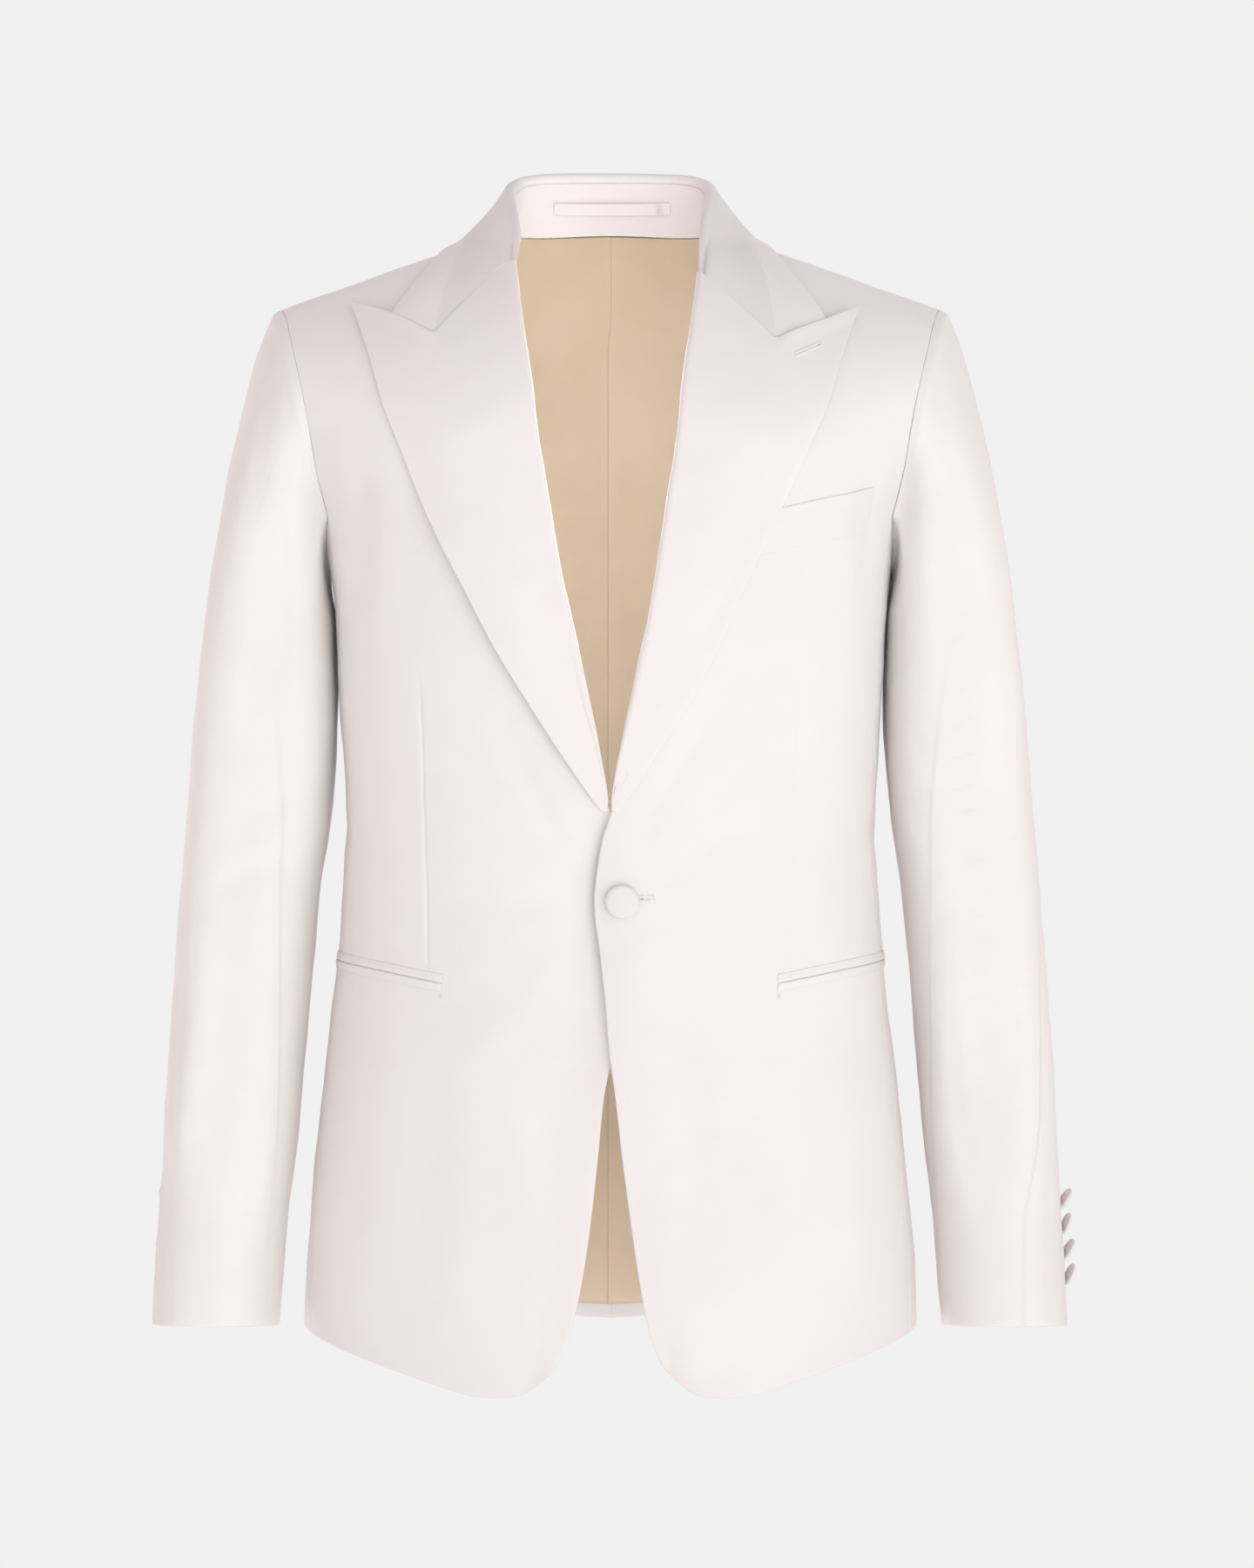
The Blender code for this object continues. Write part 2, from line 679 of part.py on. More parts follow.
def sleeve_ring(z, shares, twist):
    """A level ring of the sleeve: a point for each share of the way round, from its outer side."""
    ring = between(SLEEVE, z)
    middle = (ring.x_inner + ring.x_outer) / 2
    half = (ring.x_outer - ring.x_inner) / 2
    points = []
    for share in shares:
        turn = 2 * math.pi * share + math.radians(ring.twist * twist)
        across = math.copysign(abs(math.cos(turn)) ** (2 / SLEEVE_SQUARE), math.cos(turn))
        ahead = math.copysign(abs(math.sin(turn)) ** (2 / SLEEVE_SQUARE), math.sin(turn))
        y = ring.y_middle - ring.half_depth * ahead
        points.append(Vector((middle + half * across, y, z - ring.droop * (y - ring.y_middle))))
    return points


def sleeve_rings(loop, twist):
    """Rings from the armhole round the sleeve head to the upper arm, then down to the cuff."""
    lengths = [0.0]
    for a, b in zip(loop, loop[1:] + loop[:1]):
        lengths.append(lengths[-1] + (b.point - a.point).length)
    shares = [length / lengths[-1] for length in lengths[:-1]]
    head_end = SLEEVE[-1].height
    full = sleeve_ring(head_end, shares, twist)
    after = sleeve_ring(head_end - HEAD_SLACK, shares, twist)
    top = max(spot.point.z for spot in loop)
    low = min(spot.point.z for spot in loop)
    outward = Vector(ARMHOLE_FACES)
    rings = []
    for t in HEAD_RINGS:
        ring = []
        for spot, end, below in zip(loop, full, after):
            height = (spot.point.z - low) / (top - low)
            start = spot.point + outward * ARMHOLE_GAP
            leave = outward * mix(UNDERARM_FULLNESS, HEAD_FULLNESS, height)
            leave.z -= UNDERARM_SAG * (1 - height)
            arrive = (below - end).normalized() * (end - start).length
            place = start * (2 * t**3 - 3 * t**2 + 1) + end * (3 * t**2 - 2 * t**3)
            place += leave * (t**3 - 2 * t**2 + t) + arrive * (t**3 - t**2)
            ring.append(place)
        rings.append(ring)
    for section in reversed(SLEEVE):
        rings.append(sleeve_ring(section.height, shares, twist))
    return rings


def sleeve_spot(z, turn):
    """A place on the sleeve by its turn in degrees from its outer side towards the front."""
    def at(height, degrees):
        return sleeve_ring(height, [degrees / 360.0], 0.0)[0]

    point = at(z, turn)
    along = at(z, turn + 1.0) - at(z, turn - 1.0)
    down = at(z - 0.002, turn) - at(z + 0.002, turn)
    normal = along.cross(down).normalized()
    ring = between(SLEEVE, z)
    if normal.dot(point - Vector(((ring.x_inner + ring.x_outer) / 2, ring.y_middle, z))) < 0:
        normal.negate()
    return Spot(point, normal)


def ring_spots(rings):
    """The rings' points, with normals away from the sleeve's hollow."""
    rows = []
    for r, ring in enumerate(rings):
        above = rings[max(r - 1, 0)]
        below = rings[min(r + 1, len(rings) - 1)]
        count = len(ring)
        middle = sum(ring, Vector()) / count
        spots = []
        for c, point in enumerate(ring):
            along = ring[(c + 1) % count] - ring[c - 1]
            down = below[c] - above[c]
            normal = along.cross(down).normalized()
            if r == 0:
                normal = (point - middle).normalized()
            if normal.dot(point - middle) < 0:
                normal.negate()
            spots.append(Spot(point, normal))
        rows.append(spots)
    return rows


def sleeve_parts(loop, twist):
    """The upper and the under sleeve, which meet at a front seam and a back seam."""
    rows = ring_spots(sleeve_rings(loop, twist))
    count = len(rows[0])
    first = round(FRONT_SLEEVE_SEAM * count)
    last = round(BACK_SLEEVE_SEAM * count)
    under = [row[first : last + 1] for row in rows]
    upper = [row[last:] + row[: first + 1] for row in rows]
    return tuple(drawn_in(part, ["start", "end"], SLEEVE_SEAM_HALF) for part in (upper, under))


# Lapels and collar.


def lapel(side):
    """The turned-back lapel, on the front's own points moved out."""
    tip = LAPEL_ROWS[-1]
    x_roll = between(ROLL_LINE, tip.roll).x
    x_tip = between(LAPEL_EDGE, tip.edge).x
    top = [(x_roll, tip.roll), GORGE_CORNER, NOTCH_CORNER, (x_tip, tip.edge)]
    raised = LAYER + LAPEL_CLOTH
    rows = []
    for step in range(LAPEL_STEPS + 1):
        row = between(LAPEL_ROWS, step / LAPEL_STEPS)
        start = between(ROLL_LINE, row.roll).x
        end = between(LAPEL_EDGE, row.edge).x
        spots = []
        for share in LAPEL_COLUMNS:
            x = mix(start, end, share)
            z = mix(row.roll, row.edge, share)
            top_x = mix(x_roll, x_tip, share)
            z += row.dip * (level_on(top, top_x) - mix(tip.roll, tip.edge, share))
            sunk = fade(x - start, 0.0, ROLL_SOFTNESS) * fade(z, *ROLL_LOW_END) * fade(z, *ROLL_HIGH_END)
            out = mix(raised, ROLL_EDGE_OUT, sunk)
            spots.append(wall_spot(x, z, out=out + side * lap(x, z)))
        rows.append(spots)
    return drawn_in(rows, ["top"], SEAM)


def level_on(line, x):
    """The height at x on a line of straight stretches."""
    for (x0, z0), (x1, z1) in zip(line, line[1:]):
        if x <= x1:
            return mix(z0, z1, (x - x0) / (x1 - x0))
    return line[-1][1]


def collar_leaf():
    """The turned-down leaf over the left half of the neck, front end first: each row of points runs from
    inside the fold, over it and down to the leaf's edge on the body."""
    raised = LAYER + LAPEL_CLOTH
    up = Vector((0, 0, 1))
    grid = []
    for step in range(COLLAR_STEPS + 1):
        along = step / COLLAR_STEPS
        here = between(COLLAR, along)
        fold = Vector((here.fold_x, here.fold_y, here.fold_z))
        edge = Vector((here.edge_x, here.edge_y, top_z(here.edge_x, here.edge_y)))
        away = leaf_direction(along)
        centre = fold - up * here.roll
        wrap = min(here.wrap, 180)
        points = []
        for index in range(FOLD_POINTS):
            turn = math.radians(mix(wrap, FOLD_END, index / (FOLD_POINTS - 1)))
            points.append(centre + (away * math.cos(turn) + up * math.sin(turn)) * here.roll)
        turn = math.radians(wrap)
        tuck = mix(LEAF_TUCK_LEAST, LEAF_TUCK, (wrap - 90) / 90)
        points.insert(0, points[0] + (up * math.cos(turn) - away * math.sin(turn)) * tuck)
        crown = points.pop()
        for share in LEAF_SHARES:
            place = crown.lerp(edge, share)
            reach = GORGE_REACH if share > 0 else FOLD_REACH
            place += (gorge_place(share) - place) * fade(along, 0.0, reach)
            points.append(settled(place, raised))
        grid.append(points)
    return grid


def leaf_direction(along):
    """The level direction square to the fold, away from the neck."""
    before = between(COLLAR, max(along - 0.02, 0.0))
    after = between(COLLAR, along + 0.02)
    return Vector((after.fold_y - before.fold_y, before.fold_x - after.fold_x, 0)).normalized()


def gorge_place(share):
    """A place on the body at the leaf's front end: down the gorge to its corner, then along the notch."""
    if share <= LEAF_CORNER_SHARE:
        start, end = GORGE_TOP, GORGE_CORNER
        part = mix(GORGE_FIRST, 1.0, share / LEAF_CORNER_SHARE)
    else:
        start, end = GORGE_CORNER, NOTCH_CORNER
        part = (share - LEAF_CORNER_SHARE) / (1 - LEAF_CORNER_SHARE)
    x = mix(start[0], end[0], part)
    z = mix(start[1], end[1], part)
    return Vector((x, form_y(x, z, False), z))


def with_normals(grid, inward):
    """Spots with normals worked out from the neighbours, pointing away from the inward point."""
    rows = []
    for r, row in enumerate(grid):
        spots = []
        for c, point in enumerate(row):
            along = grid[min(r + 1, len(grid) - 1)][c] - grid[max(r - 1, 0)][c]
            across = row[min(c + 1, len(row) - 1)] - row[max(c - 1, 0)]
            normal = along.cross(across).normalized()
            spots.append(Spot(point, normal))
        rows.append(spots)
    if rows[len(rows) // 2][-1].normal.dot(rows[len(rows) // 2][-1].point - inward) < 0:
        rows = [[Spot(spot.point, -spot.normal) for spot in row] for row in rows]
    return rows


def rims_level(rows, first_step):
    """The rows with level normals where leaf and stand meet under the fold, so that their rims lie face to
    face. The first row stands at first_step."""
    for step in range(STAND_FIRST_STEP, 2 * COLLAR_STEPS + 1 - STAND_FIRST_STEP):
        inward = -leaf_direction(min(step, 2 * COLLAR_STEPS - step) / COLLAR_STEPS)
        if step > COLLAR_STEPS:
            inward.x = -inward.x
        row = rows[step - first_step]
        row[0] = Spot(row[0].point, inward)
    return rows


def on_body(rows):
    """The leaf's rows, with the body's own normals at its front ends, where it lies beside the lapels."""
    for row in (rows[0], rows[-1]):
        for index in range(len(row) - len(LEAF_SHARES) + 1, len(row)):
            point = row[index].point
            row[index] = Spot(point, gradient(outside, point, False).normalized())
    return rows


def both_sides(half):
    """Rows from the front end of one side round the back to the other, from the rows of the left half."""
    flip = Vector((-1, 1, 1))
    other = [[point * flip for point in row] for row in half[:-1]]
    return half + other[::-1]


def collar_stand():
    """The stand of the left half, front end first: points from the fold down to the neck seam."""
    half = []
    for step in range(STAND_FIRST_STEP, COLLAR_STEPS + 1):
        along = step / COLLAR_STEPS
        here = between(COLLAR, along)
        fold = Vector((here.fold_x, here.fold_y, here.fold_z))
        top = fold - leaf_direction(along) * here.roll - Vector((0, 0, here.roll + LEAF_TUCK + FOLD_GAP))
        low = Vector((here.neck_x, here.neck_y, top_z(here.neck_x, here.neck_y) + here.neck_lift))
        half.append([top.lerp(low, share) for share in STAND_SHARES])
    return half


# Small pieces.


def hip_jet(low, high):
    """One jet of the hip pocket, between two distances from the opening."""
    rows = []
    for rise in (low, high):
        row = []
        for c in range(HIP_POCKET_COLUMNS):
            share = c / (HIP_POCKET_COLUMNS - 1)
            turn = mix(HIP_POCKET_FRONT_TURN, HIP_POCKET_BACK_TURN, share)
            z = mix(HIP_POCKET_FRONT_Z, HIP_POCKET_BACK_Z, share) + rise
            row.append(girth_spot(turn, z, out=LAYER + JET_CLOTH))
        rows.append(row)
    return rows


def chest_welt():
    rows = []
    for (x0, z0), (x1, z1) in (WELT_BOTTOM, WELT_TOP):
        row = []
        for c in range(WELT_COLUMNS):
            share = c / (WELT_COLUMNS - 1)
            row.append(wall_spot(mix(x0, x1, share), mix(z0, z1, share), out=LAYER + JET_CLOTH))
        rows.append(row)
    return rows


def button(name, radius, thick, seat, dome):
    """A covered button on its seat: a flat back, a round edge and a face domed by a share of its height."""
    profile = [
        (radius * 0.80, 0.0),
        (radius * 0.97, thick * 0.22),
        (radius, thick * 0.45),
        (radius * 0.88, thick * (1.0 - 0.5 * dome)),
        (radius * 0.50, thick * (1.0 - 0.12 * dome)),
    ]
    side = seat.normal.orthogonal().normalized()
    up = seat.normal.cross(side)
    vertices = [seat.point.copy()]
    for reach, height in profile:
        for s in range(BUTTON_SEGMENTS):
            turn = 2 * math.pi * s / BUTTON_SEGMENTS
            spoke = side * math.cos(turn) + up * math.sin(turn)
            vertices.append(seat.point + spoke * reach + seat.normal * height)
    vertices.append(seat.point + seat.normal * thick)
    faces = []
    for s in range(BUTTON_SEGMENTS):
        after = (s + 1) % BUTTON_SEGMENTS
        faces.append((0, 1 + after, 1 + s))
        for p in range(len(profile) - 1):
            low = 1 + p * BUTTON_SEGMENTS
            high = low + BUTTON_SEGMENTS
            faces.append((low + s, low + after, high + after, high + s))
        crown = 1 + (len(profile) - 1) * BUTTON_SEGMENTS
        faces.append((crown + s, crown + after, len(vertices) - 1))
    solid(name, vertices, faces, SATIN, BUTTON_ROUGHNESS)


def lining_half(back):
    """The left half of the back lining, on the back panel's rows moved in."""
    inset = CLOTH + LAYER
    rows = []
    for row in back[LINING_FIRST_ROW:-1]:
        rows.append([Spot(spot.point - spot.normal * inset, spot.normal) for spot in row])
    return drawn_in(rows, ["start"])


def hanger_loop(stand):
    """A flat loop along the inside of the stand at the back, bowed away from it between its ends."""
    rows = []
    for z in (HANGER_Z - HANGER_HEIGHT / 2, HANGER_Z + HANGER_HEIGHT / 2):
        row = []
        for spots in stand:
            upper, lower = spots[0], spots[-1]
            if abs(upper.point.x) > HANGER_HALF or upper.point.y < 0:
                continue
            share = (upper.point.z - z) / (upper.point.z - lower.point.z)
            place = upper.point.lerp(lower.point, share)
            bow = HANGER_BOW * (1.0 - (place.x / HANGER_HALF) ** 2)
            normal = upper.normal.lerp(lower.normal, share).normalized()
            row.append(Spot(place + normal * (HANGER_GAP + JET_CLOTH + bow), normal))
        rows.append(row)
    return rows


def build():
    for old in list(bpy.data.objects):
        bpy.data.objects.remove(old, do_unlink=True)

    back = back_panel()
    side = side_panel()
    fronts = {1: front_panel(FRONT_EDGE_OVER, 1), -1: front_panel(FRONT_EDGE_UNDER, -1)}
    loop = armhole_loop(fronts[1], side, back)

    for name, sign in (("left", 1), ("right", -1)):
        def placed(rows, sign=sign):
            return rows if sign > 0 else mirrored(rows)

        wall("front_" + name, placed(drawn_in(fronts[sign], ["end", "top"])), CLOTH, IVORY)
        wall("side_" + name, placed(drawn_in(side, ["start", "end", "top"])), CLOTH, IVORY)
        wall("back_" + name, placed(drawn_in(back, ["start", "end", "top"])), CLOTH, IVORY)
        upper, under = sleeve_parts(loop, SLEEVE_TWIST[sign])
        wall("sleeve_upper_" + name, placed(upper), CLOTH, IVORY)
        wall("sleeve_under_" + name, placed(under), CLOTH, IVORY)
        wall("lapel_" + name, placed(lapel(sign)), LAPEL_CLOTH, SATIN, SATIN_ROUGHNESS)
        wall("lining_back_" + name, placed(lining_half(back)), LINING_CLOTH, TAN, LINING_ROUGHNESS)
        for level, low, high in (("upper", SEAM, JET_HEIGHT), ("lower", -JET_HEIGHT, -SEAM)):
            jet = placed(hip_jet(low, high))
            wall(f"hip_jet_{level}_{name}", jet, JET_CLOTH, SATIN, SATIN_ROUGHNESS)
        for number in range(CUFF_BUTTONS):
            z = CUFF_BUTTON_LOWEST + CUFF_BUTTON_PITCH * number
            spot = placed([[sleeve_spot(z, CUFF_BUTTON_TURN[sign])]])[0][0]
            seat = Spot(spot.point + spot.normal * SEAM, spot.normal)
            button_name = f"cuff_button_{name}_{number + 1}"
            button(button_name, CUFF_BUTTON_RADIUS, CUFF_BUTTON_THICK, seat, CUFF_BUTTON_DOME)

    leaf = rims_level(with_normals(both_sides(collar_leaf()), Vector(NECK_MIDDLE)), 0)
    leaf = drawn_in(on_body(leaf), ["bottom", "top"], SEAM * 2)
    wall("collar_leaf", leaf, CLOTH, SATIN, SATIN_ROUGHNESS)
    stand = with_normals(both_sides(collar_stand()), Vector(BEHIND_NECK))
    stand = rims_level(stand, STAND_FIRST_STEP)
    wall("collar_stand", stand, CLOTH, IVORY)
    wall("hanger_loop", hanger_loop(stand), JET_CLOTH, IVORY)
    wall("chest_welt", chest_welt(), JET_CLOTH, SATIN, SATIN_ROUGHNESS)

    seat = wall_spot(FRONT_BUTTON_X, FRONT_BUTTON_Z, out=LAP + SEAM * 2)
    button("front_button", FRONT_BUTTON_RADIUS, FRONT_BUTTON_THICK, seat, FRONT_BUTTON_DOME)


build()
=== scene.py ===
import math
from collections import namedtuple
from functools import partial

import bmesh
import bpy
import numpy as np
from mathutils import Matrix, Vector


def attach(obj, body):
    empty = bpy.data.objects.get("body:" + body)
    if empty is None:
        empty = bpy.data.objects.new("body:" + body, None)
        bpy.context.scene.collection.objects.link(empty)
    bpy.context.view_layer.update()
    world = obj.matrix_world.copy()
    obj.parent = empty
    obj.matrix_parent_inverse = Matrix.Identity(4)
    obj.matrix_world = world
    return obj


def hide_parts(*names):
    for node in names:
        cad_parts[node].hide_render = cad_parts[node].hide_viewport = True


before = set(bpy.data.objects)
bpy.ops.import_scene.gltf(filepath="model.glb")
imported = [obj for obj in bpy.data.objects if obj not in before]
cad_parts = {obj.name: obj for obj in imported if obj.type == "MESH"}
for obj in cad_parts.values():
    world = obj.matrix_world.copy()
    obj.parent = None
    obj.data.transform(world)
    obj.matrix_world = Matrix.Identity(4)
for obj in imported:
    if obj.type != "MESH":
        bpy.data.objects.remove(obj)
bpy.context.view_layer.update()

# Metres. +Z is up, -Y is the front and +X is the wearer's left. Each cloth piece is a thin wall laid on
# the body form that its solid follows, worked out here at a finer step.


def table(kind, rows):
    return [kind(*row) for row in rows]


# Walls, and the spaces between them.
CLOTH = 0.0018
LAPEL_CLOTH = 0.0024
LEAF_CLOTH = 0.0018
FOLDED_CLOTH = 0.0012
LINING_CLOTH = 0.0009
SOLID_CLOTH = 0.0020
SEAM = 0.0003
LAYER = 0.0009

# How far apart a wall's points are, and how they close up at its edges, which are rounded.
PITCH = 0.0040
FINE_PITCH = 0.0030
EDGE_STEPS = [0.0003, 0.0008, 0.0014, 0.0026]
EDGE_ROUND = 0.8
FREE_EDGE = 0.44
SEWN_EDGE = 0.13
BACK_SEAM_EDGE = 0.26
GORGE_EDGE = 0.20
HIDDEN_EDGE = 0.02
# How far in from its edges a wall's cloth is rubbed, and how much less at sewn edges.
RUBBED_BREADTH = 0.0022
SEWN_EDGE_SPARED = 0.0015
# How far pressed cloth wanders from true.
WAVER = 0.0004
LEAF_WAVER = 0.0002

UP = np.array([0.0, 0.0, 1.0])
ALONG_X = [1.0, 0.0, 0.0]
MIRROR = np.array([-1.0, 1.0, 1.0])
HANDS = (("left", 1), ("right", -1))
# How often each step is repeated where a place is worked out by getting nearer to it.
TOP_ROUNDS = 16
SETTLE_ROUNDS = 6
MEET_ROUNDS = 20

# The body form: the shoulder ridge, the arch over it, and where the seams run.
NECK_RIDGE = 0.0626
NECK_ROUND = 0.045
NECK_RISE = 0.005
NECK_RISE_X = (0.055, 0.105)
SHOULDER_SLOPE = 0.367
RIDGE_Y = 0.015
ARCH_HEIGHT = 0.145
ARCH_BEND = 1.75
SIDE_SEAM_FRONT = 0.965
SIDE_SEAM_BACK = 0.955
ARMHOLE_DIP = 0.030
DIP_END = -0.290
HEM_BEND_END_FRONT = -0.560
HEM_BEND_END_SIDE = -0.620
ARCH_LAST = 87.5
ARCH_END = [88.6, 89.3, 89.7, 90.0]
ARCH_TURNS = np.concatenate([np.linspace(0.0, ARCH_LAST, 42), ARCH_END])
LAP = 0.0014
LAP_X = (0.035, 0.080)
LAP_Z = (-0.250, -0.150)

Section = namedtuple("Section", "height half_width front back square_front square_back")
FORM = table(Section, [
    (-0.740, 0.2040, 0.133, 0.134, 2.30, 2.30),
    (-0.681, 0.2016, 0.133, 0.133, 2.30, 2.30),
    (-0.620, 0.1981, 0.132, 0.132, 2.30, 2.30),
    (-0.534, 0.1895, 0.131, 0.127, 2.30, 2.30),
    (-0.454, 0.1802, 0.129, 0.117, 2.35, 2.35),
    (-0.377, 0.1747, 0.130, 0.109, 2.40, 2.40),
    (-0.333, 0.1749, 0.133, 0.109, 2.40, 2.45),
    (-0.268, 0.1792, 0.140, 0.116, 2.45, 2.60),
    (-0.223, 0.1812, 0.144, 0.123, 2.50, 2.80),
    (-0.190, 0.1848, 0.145, 0.127, 2.50, 3.00),
    (-0.150, 0.1930, 0.144, 0.129, 2.50, 3.40),
    (-0.110, 0.2180, 0.141, 0.128, 2.50, 4.00),
    (-0.075, 0.2540, 0.137, 0.126, 2.50, 4.00),
    (0.060, 0.4000, 0.128, 0.120, 2.50, 4.00),
])

Edge = namedtuple("Edge", "height x")
ARMHOLE_FRONT = table(Edge, [
    (-0.160, 0.1832), (-0.131, 0.1896), (-0.105, 0.1935), (-0.079, 0.1985), (-0.048, 0.2065),
    (-0.028, 0.2125), (-0.019, 0.2174),
])
ARMHOLE_BACK = table(Edge, [
    (-0.160, 0.1815), (-0.135, 0.1920), (-0.105, 0.2000), (-0.070, 0.2055), (-0.040, 0.2110),
    (-0.019, 0.2174),
])
ROLL_LINE = table(Edge, [
    (-0.352, 0.0012), (-0.339, 0.0014), (-0.300, 0.0085), (-0.225, 0.0242), (-0.130, 0.0400),
    (-0.103, 0.0455), (-0.066, 0.0500), (-0.044, 0.0530), (-0.022, 0.0560), (0.004, 0.0588),
])
# The two rolls lie a little apart from that line.
ROLL_SHIFT = {
    1: table(Edge, [(-0.352, 0.0), (-0.135, 0.0), (-0.100, -0.0022), (0.004, -0.0022)]),
    -1: table(Edge, [
        (-0.352, 0.0), (-0.240, 0.0), (-0.200, 0.0013), (-0.130, 0.0016), (-0.090, 0.0002), (-0.045, 0.0006),
        (0.004, 0.0013),
    ]),
}
LAPEL_EDGE = table(Edge, [
    (-0.352, 0.0036), (-0.344, 0.0104), (-0.300, 0.0390), (-0.250, 0.0690), (-0.210, 0.0890),
    (-0.160, 0.1135), (-0.112, 0.1345), (-0.090, 0.1435), (-0.062, 0.1520), (-0.041, 0.1595),
    (-0.022, 0.1670),
])
FrontEdge = namedtuple("FrontEdge", "height x beneath")
FRONT_EDGE = table(FrontEdge, [
    (-0.7065, 0.0380, 0.0000), (-0.6990, 0.0323, 0.0000), (-0.6810, 0.0252, 0.0000),
    (-0.6470, 0.0187, 0.0012), (-0.6130, 0.0136, 0.0012), (-0.5710, 0.0080, 0.0004),
    (-0.5300, 0.0034, 0.0000), (-0.5060, 0.0000, 0.0020), (-0.4700, -0.0030, 0.0080),
    (-0.4360, -0.0068, 0.0130), (-0.4170, -0.0094, 0.0145), (-0.4000, -0.0095, 0.0145),
    (-0.3700, -0.0051, 0.0100), (-0.3555, -0.0006, 0.0030), (-0.3390, 0.0050, 0.0000),
    (-0.3000, 0.0195, 0.0000), (-0.2250, 0.0355, 0.0000), (-0.1300, 0.0515, 0.0000),
    (-0.0660, 0.0610, 0.0000), (-0.0220, 0.0660, 0.0000), (0.0040, 0.0680, 0.0000),
    (0.0200, 0.0720, 0.0000), (0.0314, 0.0750, 0.0000),
])
# The fronts' darts, and the column of points that runs on from them to hem and shoulder.
DART = table(Edge, [(-0.720, 0.1120), (-0.447, 0.1160), (-0.333, 0.1190), (-0.258, 0.1212), (-0.150, 0.1240)])
DART_SHARE = 0.6
DART_LOW = (-0.4500, -0.4510)
DART_HIGH = (-0.2580 - 0.0300, -0.2580)
DART_DEPTH = {1: 0.00015, -1: 0.0008}
DART_WIDTH = 0.0011
DART_BESIDE = 0.4

Hem = namedtuple("Hem", "x height")
FRONT_HEM = table(Hem, [
    (0.0380, -0.7065), (0.0527, -0.7180), (0.0665, -0.7210), (0.0880, -0.7205), (0.1165, -0.7130),
    (0.1425, -0.7055), (0.1620, -0.7000), (0.1810, -0.6945), (0.1950, -0.6900),
])
SIDE_HEM_MIDDLE = -0.687
Row = namedtuple("Row", "front_edge side_seam centre_back")
LOWER_ROWS = table(Row, [
    (-0.7065, -0.690, -0.7008), (-0.6990, -0.683, -0.690), (-0.6860, -0.672, -0.676),
    (-0.6600, -0.648, -0.650), (-0.6200, -0.610, -0.610), (-0.5750, -0.568, -0.568),
    (-0.5300, -0.526, -0.526), (-0.4900, -0.488, -0.488), (-0.4550, -0.454, -0.452),
    (-0.4200, -0.420, -0.416), (-0.3880, -0.388, -0.380), (-0.3560, -0.356, -0.344),
    (-0.3200, -0.323, -0.306), (-0.2820, -0.289, -0.266), (-0.2400, -0.254, -0.224),
    (-0.1960, -0.221, -0.180), (-0.1540, -0.189, -0.138), (-0.1160, -0.160, -0.100),
])
BACK_NECK_HALF = 0.075
BACK_NECK_TURN = 66
BACK_NECK_STEPS = (33, 13)
BACK_NECK_CLOSING = 1.6
BRIDGE_ROWS = 3
FRONT_BREADTH = 0.195
BACK_BREADTH = 0.175
SIDE_BREADTH = 0.090

Ring = namedtuple("Ring", "height x_inner x_outer y_middle half_depth twist droop")
SLEEVE = table(Ring, [
    (-0.6875, 0.2172, 0.2997, -0.024, 0.0475, 80.0, 0.10),
    (-0.6420, 0.2140, 0.2974, -0.019, 0.0500, 76.0, 0.05),
    (-0.6030, 0.2103, 0.2950, -0.014, 0.0522, 70.0, 0.0),
    (-0.5650, 0.2067, 0.2929, -0.009, 0.0545, 62.0, 0.0),
    (-0.5250, 0.2034, 0.2906, -0.004, 0.0568, 54.0, 0.0),
    (-0.4865, 0.2004, 0.2884, 0.001, 0.0590, 46.0, 0.0),
    (-0.4405, 0.1965, 0.2853, 0.005, 0.0615, 37.0, 0.0),
    (-0.4000, 0.1928, 0.2822, 0.008, 0.0638, 29.0, 0.0),
    (-0.3600, 0.1868, 0.2790, 0.009, 0.0660, 21.0, 0.0),
    (-0.3200, 0.1830, 0.2758, 0.009, 0.0682, 13.0, 0.0),
    (-0.2755, 0.1813, 0.2720, 0.008, 0.0705, 6.0, 0.0),
    (-0.2250, 0.1824, 0.2660, 0.006, 0.0730, 0.0, 0.0),
])
SLEEVE_TWIST = {1: 1.0, -1: 0.68}
# The sleeve hangs flat above the cuff, and is rounder at it.
SLEEVE_SQUARE = 3.5
CUFF_SQUARE = 2.2
CUFF_SQUARE_HEIGHTS = (-0.545, -0.620)
SLEEVE_GIRTH = 0.420
HEAD_STEPS = [0.0, 0.004, 0.011, 0.020, 0.035, 0.055, 0.080]
HEAD_STEP = 0.026
HEAD_STEPS_END = 0.985
ARMHOLE_FACES = np.array([0.977, 0.0, -0.213])
ARMHOLE_GAP = 0.0002
HEAD_FULLNESS = 0.056
UNDERARM_FULLNESS = 0.012
UNDERARM_SAG = 0.016
HEAD_SLACK = 0.040
FRONT_SLEEVE_SEAM = 0.4520
BACK_SLEEVE_SEAM = 0.8852
# The seam allowances lift the sleeve head just past the armhole seam.
ROPE_HEIGHT = 0.0009
ROPE_FROM_SEAM = 0.0065
ROPE_WIDTH = 0.0038
ROPE_HEIGHTS = (0.62, 0.25)
VENT_TOP = (-0.600, -0.585)
VENT_LIFT = 0.0007
VENT_WIDTH = 0.012

